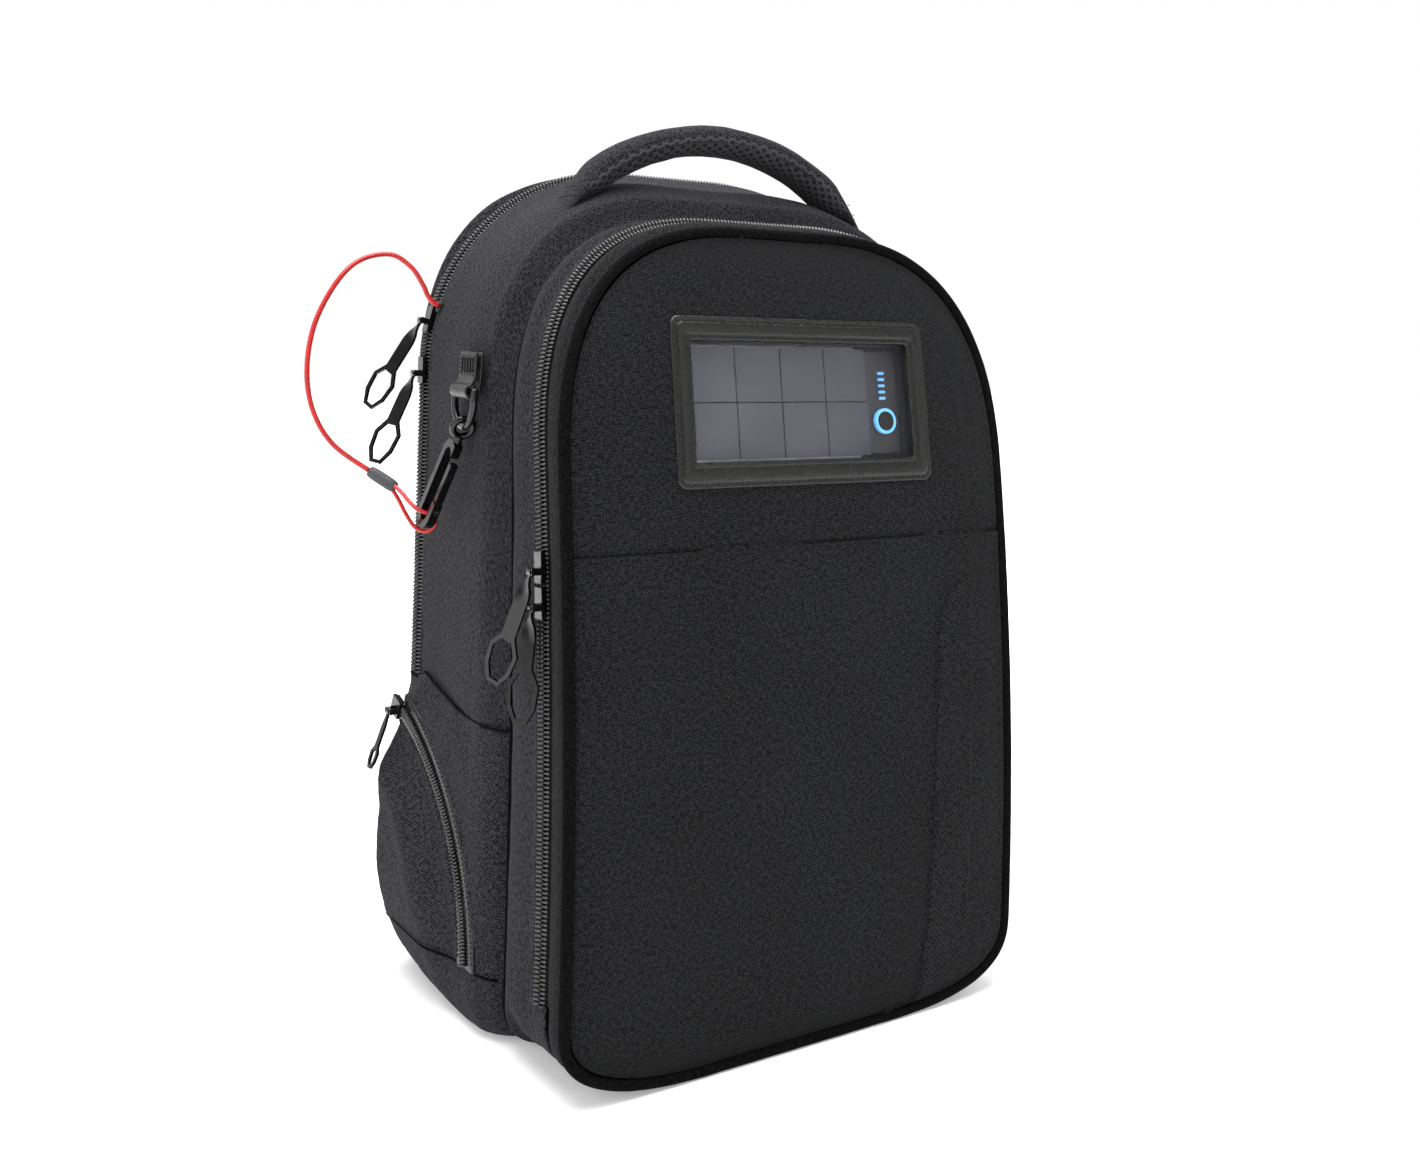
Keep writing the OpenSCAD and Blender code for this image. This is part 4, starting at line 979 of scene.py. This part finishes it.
# The side's outlines and their depths
GUSSET = (
    (-27, GROOVE_O), (-12, SHOULDER_O), (20, RIDGE_O), (60, CROWN_O), (84, REAR_O), (96, REAR_O),
    (BACK_Y, BACK_O),
)
POCKET_X, POCKET_Y, POCKET_TURN = -160.6, -3, math.radians(8)
POCKET_ARC = (138, 32, 138)
POCKET_EDGE = (-28, 105)


def pocket_high(y):
    return np.interp(y, [-30, 10, 70, 83, 110], [171, 173, 182.4, 176.4, 176])


def gusset_x(y, z):
    """Half the width of the side at a depth and height."""
    widths = np.stack([half_at(o, z) for _, o in GUSSET])
    depths = [d for d, _ in GUSSET]
    i = np.clip(np.searchsorted(depths, y) - 1, 0, len(depths) - 2)
    a, b = (np.take_along_axis(widths, j[None], 0)[0] for j in (i, i + 1))
    d = np.array(depths, float)
    return a + (b - a) * (y - d[i]) / (d[i + 1] - d[i])


def on_pocket(y, z, out=0.0):
    """Points on the left pocket: flat along its zip, swollen behind it, with the zip's flaps."""
    y, z = np.broadcast_arrays(np.asarray(y, float), np.asarray(z, float))
    front, back = POCKET_EDGE
    radius = POCKET_ARC[2]
    rise = ease((y - front) / 22) * ease((pocket_high(y) - z) / 20) * ease((back - y) / 24)
    rise = rise * np.sin(math.pi / 2 * np.clip((z - 3) / 74, 0, 1))
    q = np.hypot((y - POCKET_Y) / math.cos(POCKET_TURN) - POCKET_ARC[0], z - POCKET_ARC[1])
    edge = gusset_x(y, z) - 3.2 + 4.6 * ease((y - front) / 7)
    flat = -POCKET_X + (y - POCKET_Y) * math.tan(POCKET_TURN) + 0.2
    swell = 13 * ease((radius - 9 - q) / 30) - 0.8 * (1 - ease((radius - 6 - q) / 3))
    lip = 1.3 * np.exp(-((q - radius + 8) / 1.8) ** 2) + 0.9 * np.exp(-((q - radius - 11) / 1.6) ** 2)
    x = edge + rise * np.maximum(0.6, flat + swell + lip * ease((z - 34) / 10) - edge)
    return np.stack([-(x + out), y, z], -1)


def pocket_arc(r, out, low=113, high=178, n=90):
    a = np.radians(np.linspace(low, high, n))
    p = np.c_[np.full(n, -out), POCKET_ARC[0] + r * np.cos(a), POCKET_ARC[1] + r * np.sin(a)]
    c, s = math.cos(POCKET_TURN), math.sin(POCKET_TURN)
    return np.c_[c * p[:, 0] - s * p[:, 1] + POCKET_X, s * p[:, 0] + c * p[:, 1] + POCKET_Y, p[:, 2]]


def other_side(points, side):
    return np.asarray(points) * (-side, 1, 1)


def make_pockets():
    out = np.array([-math.cos(POCKET_TURN), -math.sin(POCKET_TURN), 0])
    r = POCKET_ARC[2]
    y = np.linspace(*POCKET_EDGE, 150)
    tape_profile = ((-8.2, 0.4), (-7, 0.9), (-4, 0.6), (0, 0.3), (4.5, 0.6), (9, 0.9), (10.6, 0.3))
    # Painted shade: thin tubes of the dark piping cloth along the pocket's top and foot, as dark lines of
    # shade at those seams.
    shade_lines = (("top", on_pocket(y[2:-2], pocket_high(y[2:-2]) - 0.4, 0.2)),
             ("foot", on_pocket(np.linspace(-24, 100, 90), 36.4, 0.0)))
    seams = (
        ("tape_in", pocket_arc(r - 6.9, 1.0, 114, 176)), ("tape_out", pocket_arc(r + 8.6, 1.0, 114, 176)),
        ("top", on_pocket(y[5:-5], pocket_high(y[5:-5]) - 2.2, 0.4)),
        ("foot", on_pocket(np.linspace(-22, 98, 90), 38.0, 0.3)),
    )
    for side, hand in HANDS:
        rows = [other_side(on_pocket(y, 4 + (pocket_high(y) - 4) * t), side) for t in np.linspace(0, 1, 190)]
        cloth_piece = crumple(grid(f"pocket_{hand}", rows, inside=(0, 40, 90)), 1.5, 30, 41 + side)
        cloth_piece = thick(crumple(cloth_piece, 0.35, 9, 47 + side), 1.8)
        finish_piece(cloth_piece, "body", "root", ["side_pockets"])
        rows = [other_side(pocket_arc(r + d, h), side) for d, h in tape_profile]
        tape = thick(grid(f"pocket_tape_{hand}", rows, inside=(0, 40, 90)), 0.7)
        finish_piece(tape, "coated", "root")
        centre = other_side(pocket_arc(0, 0.9, n=2), side)[0]
        line = other_side(pocket_arc(r, 1.3, 113, 177.5), side)
        facing = other_side(out, side)
        for row_side, place in ((-1, "in"), (1, "out")):
            row = zip_row(f"pocket_coil_{hand}_{place}", line, facing, row_side, centre, 1.9, 3.0)
            finish_piece(row, None, "root", ["pocket_zips"])
        # Painted shade: each line is a tube of the dark piping cloth.
        for name, line in shade_lines:
            shade_line = tube(f"pocket_shade_line_{name}_{hand}", other_side(line, side), 0.8, 8, side=(1, 0, 0.1))
            finish_piece(shade_line, "piping", "root")
        for name, line in seams:
            name = f"pocket_stitches_{name}_{hand}"
            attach(stitches(name, other_side(line, side), facing, 2.9, 2.1, 0.26, 0.1), "root")


# ---- Handle ----

def make_handle():
    turn = math.asin(HANDLE_HALF / HANDLE_R)
    arc = [(HANDLE_R * math.sin(a), HANDLE_TOP - HANDLE_R + HANDLE_R * math.cos(a))
           for a in np.linspace(-turn, turn, 61)]
    dip = [(5.2, -3.9), (10.4, -8.2), (15.5, -12.6), (20.5, -17.5), (25.5, -23.5), (29.5, -30)]
    tail = [(arc[-1][0] + dx, arc[-1][1] + dz) for dx, dz in dip]
    line = np.array([(-x, z) for x, z in tail[::-1]] + arc + tail)
    line = np.c_[line[:, 0], np.full(len(line), HANDLE_Y), line[:, 1]]
    p, t = spaced(line, 2.2)
    up = np.stack([-t[:, 2], np.zeros(len(t)), t[:, 0]], 1)
    up *= np.sign(up[:, 2:])
    s = np.linspace(0, 1, len(p))
    end = np.minimum(s, 1 - s) * length_of(line)
    thickness = (3.2 + 6.2 * ease((end - 6) / 34))[:, None]
    width = (12.0 + 1.5 * ease((end - 10) / 30))[:, None]
    back = np.array([0, 1.0, 0])
    a = np.arange(44) * 2 * math.pi / 44
    lip = 1 + 0.05 * np.exp(-((np.sin(a) + 0.12) / 0.16) ** 2)
    cy = (signed_power(np.cos(a), 0.72) * lip)[None, :, None]
    cz = (signed_power(np.sin(a), 0.85) * lip)[None, :, None]
    rows = p[:, None] + cy * width[:, None] * back + cz * thickness[:, None] * up[:, None]
    piece = grid("carry_handle", rows, True, inside=(0, 24, 440))
    edit(piece, close_ends)
    for look in ("body", "mesh_uv"):
        piece.data.materials.append(MATERIALS[look])
    crumple(piece, 0.5, 22, 53)
    for f in piece.data.polygons:
        k = np.mean([math.sin(a[v % len(a)]) for v in f.vertices])
        row = min(v // len(a) for v in f.vertices)
        f.material_index = int(k < 0.12 and 9 < row < len(p) - 10)
    finish_piece(piece, None, None, ["handle_grip", "handle_anchors"])
    fold(piece)
    for side, edge in ((-1, "front"), (1, "back")):
        rim = p + side * width * 0.985 * back - 0.16 * thickness * up
        seam = tube(f"handle_seam_{edge}", rim[5:-5], 0.9, 8, side=(0, 1, 0.1))
        fold(finish_piece(seam, "body"))
        row = (p + side * width * 0.93 * back + 0.42 * thickness * up)[5:-5]
        facing = np.array([0, side * 0.7, 0.7])
        fold(stitches(f"handle_stitches_{edge}", row, facing, 3.1, 2.2, 0.27, 0.35))
    for hand in ("left", "right"):
        for k, share in enumerate((0.05, 0.075)):
            i = int(share * len(p)) if hand == "left" else int((1 - share) * len(p)) - 1
            across = np.linspace(-10, 10, 12)[:, None] * back + p[i] + up[i] * (thickness[i] + 0.1)
            row = stitches(f"handle_end_stitches_{hand}_{k}", across, up[i], 2.4, 1.8, 0.3, 0.1)
            fold(row)


# ---- Back padding and straps ----

def pad_piece(name, x, z, w, h, r, thickness, channels, node, body):
    """A sewn pad: a crowned form with a bound edge, quilted by channels across it."""
    ring = rounded_rect(w, h, r)
    base = BACK_Y + 4.4
    shares = [1.0, 1.004, 0.995, 0.985, 0.97, 0.95, *np.linspace(0.92, 0.02, 30)]
    rows = np.array([ring * s for s in shares])
    inward = np.linspace(0, 1, len(rows))[:, None]
    edge_rise = [0.0, 0.25, 0.42, 0.55, 0.66, 0.74]
    crown = np.array([*edge_rise, *(0.74 + 0.26 * ease(np.linspace(0, 1, 30) * 1.6))])[:, None]
    v = rows[..., 1]
    pull = sum(np.exp(-((v - c * h) / 3.2) ** 2) for c in channels)
    depth = thickness * crown * (1 - 0.55 * pull * ease((inward - 0.12) / 0.2))
    points = np.stack([x + rows[..., 0], base + depth, z + v], -1)
    piece = grid(name, points, True, inside=(x, 0, z))
    edit(piece, close_ends)
    crumple(piece, 0.3, 20, 61)
    finish_piece(piece, "mesh", body, [node])
    edge = np.c_[x + ring[:, 0], np.full(len(ring), base + 2.2), z + ring[:, 1]]
    binding = tube(name + "_binding", edge, 2.0, 10, closed=True, side=(0, 1, 0))
    finish_piece(binding, "webbing", body)


# A strap's way down the back, with its width, and its webbing's way to the anchor
STRAP = [
    (40, 122, 462, 54), (44, 129, 450, 58), (52, 137, 428, 64), (59, 142, 390, 66), (68, 143, 340, 66),
    (79, 143, 290, 60), (90, 141, 245, 50), (97, 138, 212, 40),
]
WEB = [(98, 137, 182), (104, 133, 150), (112, 127, 110), (120, 121.5, 72), (124, 120, 58)]


def flat_band(name, line, half, thickness, puff):
    """A band that lies across X along a line: rounded edges, a crown on its outer side."""
    u = np.linspace(0, 2 * math.pi, 36, endpoint=False)
    cx, cy = signed_power(np.cos(u), 0.6), signed_power(np.sin(u), 0.75)
    t = unit(np.gradient(line, axis=0))
    away = unit(np.stack([np.zeros(len(t)), -t[:, 2], t[:, 1]], 1))
    lift = np.where(cy > 0, 1 + puff * (1 - np.abs(cx) ** 2), 1.0)
    side = cx[None, :, None] * np.reshape(half, (-1, 1, 1)) * np.array([1.0, 0, 0])
    rise = (cy * lift)[None, :, None] * thickness / 2 * away[:, None]
    piece = grid(name, line[:, None] + side + rise, True, inside=(0, 60, 300))
    edit(piece, close_ends)
    return piece


def make_back():
    panel_o = inset(BACK_O, 1.5)
    z = np.linspace(panel_o[6] + 0.2, panel_o[1] - 0.2, 150)[:, None]
    share = np.linspace(-1, 1, 60)[None]
    x = half_at(panel_o, z) * share
    rise = 2.0 * ease((1 - np.abs(share)) * 9)
    rows = np.stack(np.broadcast_arrays(x, BACK_Y + 1.5 + rise, z), -1)
    panel = thick(crumple(grid("back_panel", rows, inside=(0, 0, 230)), 0.3, 40, 67), 2.0)
    finish_piece(panel, "pad", None, ["back_panel_upper", "back_panel_lower"])
    fold(panel)
    line = on_outline(BACK_O, -1.2, BACK_Y + 1.5, 0)
    piping = tube("back_piping", line, 2.0, 12, closed=True, side=(0, 1, 0.1))
    fold(finish_piece(piping, "piping"))
    for side, hand in HANDS:
        pad_piece(f"back_pad_{hand}", 62 * side, 320, 100, 232, 24, 9.0, (-0.28, 0, 0.28),
                  "back_pads", "back_panel")
    pad_piece("lumbar_pad_cushion", 0, 92, 178, 134, 22, 10.5, (0,), "lumbar_pad", "root")
    for side, hand in HANDS:
        make_strap(side, hand)
    refined("ladder_locks", "plastic", 0.8)
    refined("strap_anchors", "webbing", 0.5)


def make_strap(side, hand):
    """A padded shoulder strap with bound edges and a tape along it, and its webbing."""
    line = smooth_line([p[:3] for p in STRAP], 10)
    widths = [p[3] / 2 for p in STRAP]
    half = np.interp(np.linspace(0, 1, len(line)), np.linspace(0, 1, len(STRAP)), widths) - 1.5
    line = line * (side, 1, 1)
    strap = crumple(flat_band(f"shoulder_strap_{hand}", line, half, 7.4, 0.25), 0.4, 26, 71)
    finish_piece(strap, "pad", "back_panel", ["shoulder_straps"])
    for edge, place in ((-1, "in"), (1, "out")):
        rim = line + (edge * half)[:, None] * np.array([1.0, 0, 0])
        bind = tube(f"strap_binding_{hand}_{place}", rim, 2.1, 10, side=(0, 1, 0.1))
        finish_piece(bind, "webbing", "back_panel")
    tape = flat_band(f"strap_tape_{hand}", line + (0, 5.6, 0), np.full(len(line), 12.5), 1.6, 0)
    finish_piece(tape, "webbing", "back_panel")
    line = smooth_line(WEB, 10) * (side, 1, 1)
    web = flat_band(f"strap_webbing_{hand}", line, np.full(len(line), 12.0), 1.6, 0)
    finish_piece(web, "webbing", None, ["strap_webbings"])
    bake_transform(web)


# ---- Inside ----

def sheet_piece(name, node, look, body="root", bulge=0.8, hem=True):
    """A sewn sheet in the space of a flat CAD piece: soft, a little uneven, with a hem along its top."""
    low, high = (np.array(c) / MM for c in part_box(node))
    x = np.linspace(low[0] + 1, high[0] - 1, 60)
    z = np.linspace(low[2] + 1, high[2] - 1, 60)
    middle = (low[1] + high[1]) / 2
    deep = max(0.5, (high[1] - low[1]) / 2 - 1.2)
    wave = min(bulge, deep)
    rows = [np.c_[x, middle + wave * np.sin((x - low[0]) / 31 + v / 47), np.full(60, v)] for v in z]
    piece = thick(grid(name, rows, inside=(0, 300, 230)), 1.4, 0)
    finish_piece(piece, look, body, [node])
    if hem:
        top = np.array(rows[-1])
        bind = tube(name + "_hem", top, 1.5, 10, side=(0, 1, 0.1))
        finish_piece(bind, "webbing", body)


def make_inside():
    rows = [on_divider(z) for z in np.linspace(6, FRONT_TOP + 3, 90)]
    divider = thick(crumple(grid("divider", rows, inside=(0, 300, 230)), 0.3, 50, 73), 1.8, 0)
    finish_piece(divider, "lining", "root", ["divider_panel"])
    sheet_piece("laptop_pocket", "laptop_sleeve", "lining")
    low, high = (np.array(c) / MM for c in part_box("organizer_pocket"))
    x = np.linspace(low[0], high[0], 80)
    share = np.linspace(-1, 1, 80)
    front = low[1] + 1.2 + (high[1] - low[1] - 2.4) * np.abs(share) ** 9
    rows = [np.c_[x, front + 0.5 * np.sin(x / 23), np.full(80, v)] for v in np.linspace(low[2], high[2], 50)]
    organizer = thick(grid("organizer", rows, inside=(0, 300, 120)), 1.2, 0)
    finish_piece(organizer, "lining", "root", ["organizer_pocket"])
    hem = tube("organizer_hem", np.array(rows[-1]), 1.3, 10, side=(0, 1, 0.1))
    finish_piece(hem, "webbing", "root")


def on_divider(z):
    half = float(half_at(inset(GROOVE_O, 4.5), z))
    x = np.linspace(-half, half, 60)
    return np.c_[x, np.full(60, -25.7 + 0.5 * float(lean(z))), np.full(60, z)]


# ---- Metalwork ----

def twist(piece, degrees):
    """Turns a hanging pull about its own length, from none at its eye to all of it on its ring."""
    def refine(b):
        bmesh.ops.triangulate(b, faces=b.faces)
        for _ in range(3):
            long = [e for e in b.edges if e.calc_length() > 3 * MM]
            bmesh.ops.subdivide_edges(b, edges=long, cuts=1, use_grid_fill=False)
            bmesh.ops.triangulate(b, faces=b.faces)

    edit(piece, refine)
    p = np.array([v.co for v in piece.data.vertices]) / MM
    top, low = p[p[:, 2] > p[:, 2].max() - 4].mean(0), p[p[:, 2] < p[:, 2].min() + 6].mean(0)
    way = (low - top) / np.linalg.norm(low - top)
    share = ease(((p - top) @ way - 5) / 11)
    for v, q, t in zip(piece.data.vertices, p, share):
        turn = Matrix.Rotation(math.radians(degrees) * t, 3, Vector(way))
        v.co = (turn @ Vector(q - top) + Vector(top)) * MM


def make_hardware():
    for kind in ("front", "rear"):
        for place in ("upper", "lower"):
            refined(f"{kind}_slider_{place}", "metal", 0.45)
            twist(refined(f"{kind}_pull_{place}", "metal", 0.4), -32)
    for hand in ("left", "right"):
        refined(f"pocket_slider_{hand}", "metal", 0.4)
        refined(f"pocket_pull_{hand}", "metal", 0.35)
    ring = frame["nodes"]["d_ring"]
    ring.data.materials.clear()
    ring.data.materials.append(MATERIALS["ring"])
    refined("carabiner", "hook", 0.7, segments=3)
    refined("carabiner_gate", "hook", 0.5)


def make_tab():
    """The leather loop that holds the side ring, sewn down with a box of stitches and bars."""
    x, y, z = RING
    rows = []
    wrap = [(2.0, 21.5), (1.4, 19), (1.3, 12), (1.0, 7.5), (-0.6, 4.5)]
    wrap += [(-4.3 * math.sin(a), 4.3 * math.cos(a)) for a in np.radians(np.linspace(20, 170, 16))]
    wrap += [(2.6, -3.6), (4.4, -1.0), (5.2, 4), (5.6, 12), (5.8, 21.5)]
    line = smooth_line([(x + a, 0, z + b) for a, b in wrap], 3)
    across = np.linspace(-12.4, 12.4, 22)
    for px, _, pz in line:
        rows.append(np.c_[np.full(22, px), y + across, np.full(22, pz)])
    tab = grid("ring_tab", rows, inside=(x + 3, y, z + 6))
    crumple(tab, 0.15, 8, 79)
    tab = thick(tab, 1.3)
    finish_piece(tab, "leather", "root", ["d_ring_tab"])
    face = x + 1.2
    box = [(-10.2, 9), (10.2, 9), (10.2, 19.5), (-10.2, 19.5), (-10.2, 9)]
    corners = np.array([(face, y + a, z + b) for a, b in box], float)
    sides = [np.linspace(a, b, 12)[:-1] for a, b in zip(corners[:-1], corners[1:])]
    dense = np.concatenate(sides + [corners[-1:]])
    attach(stitches("tab_box_stitches", dense, (-1, 0, 0), 2.4, 1.8, 0.3, 0.25), "root")
    for k in range(5):
        at = -8 + 4 * k
        bar = np.array([(face, y + at, z + 10.5), (face, y + at, z + 18)], float)
        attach(stitches(f"tab_bar_{k}", np.linspace(*bar, 8), (-1, 0, 0), 1.0, 1.25, 0.5, 0.2), "root")


make_camera()
make_cable()
make_studio()
make_front_panel()
make_front_edge()
make_zips()
make_front_gusset()
make_main_gusset()
make_rear_band()
make_window()
make_pockets()
make_handle()
make_back()
make_inside()
make_hardware()
make_tab()
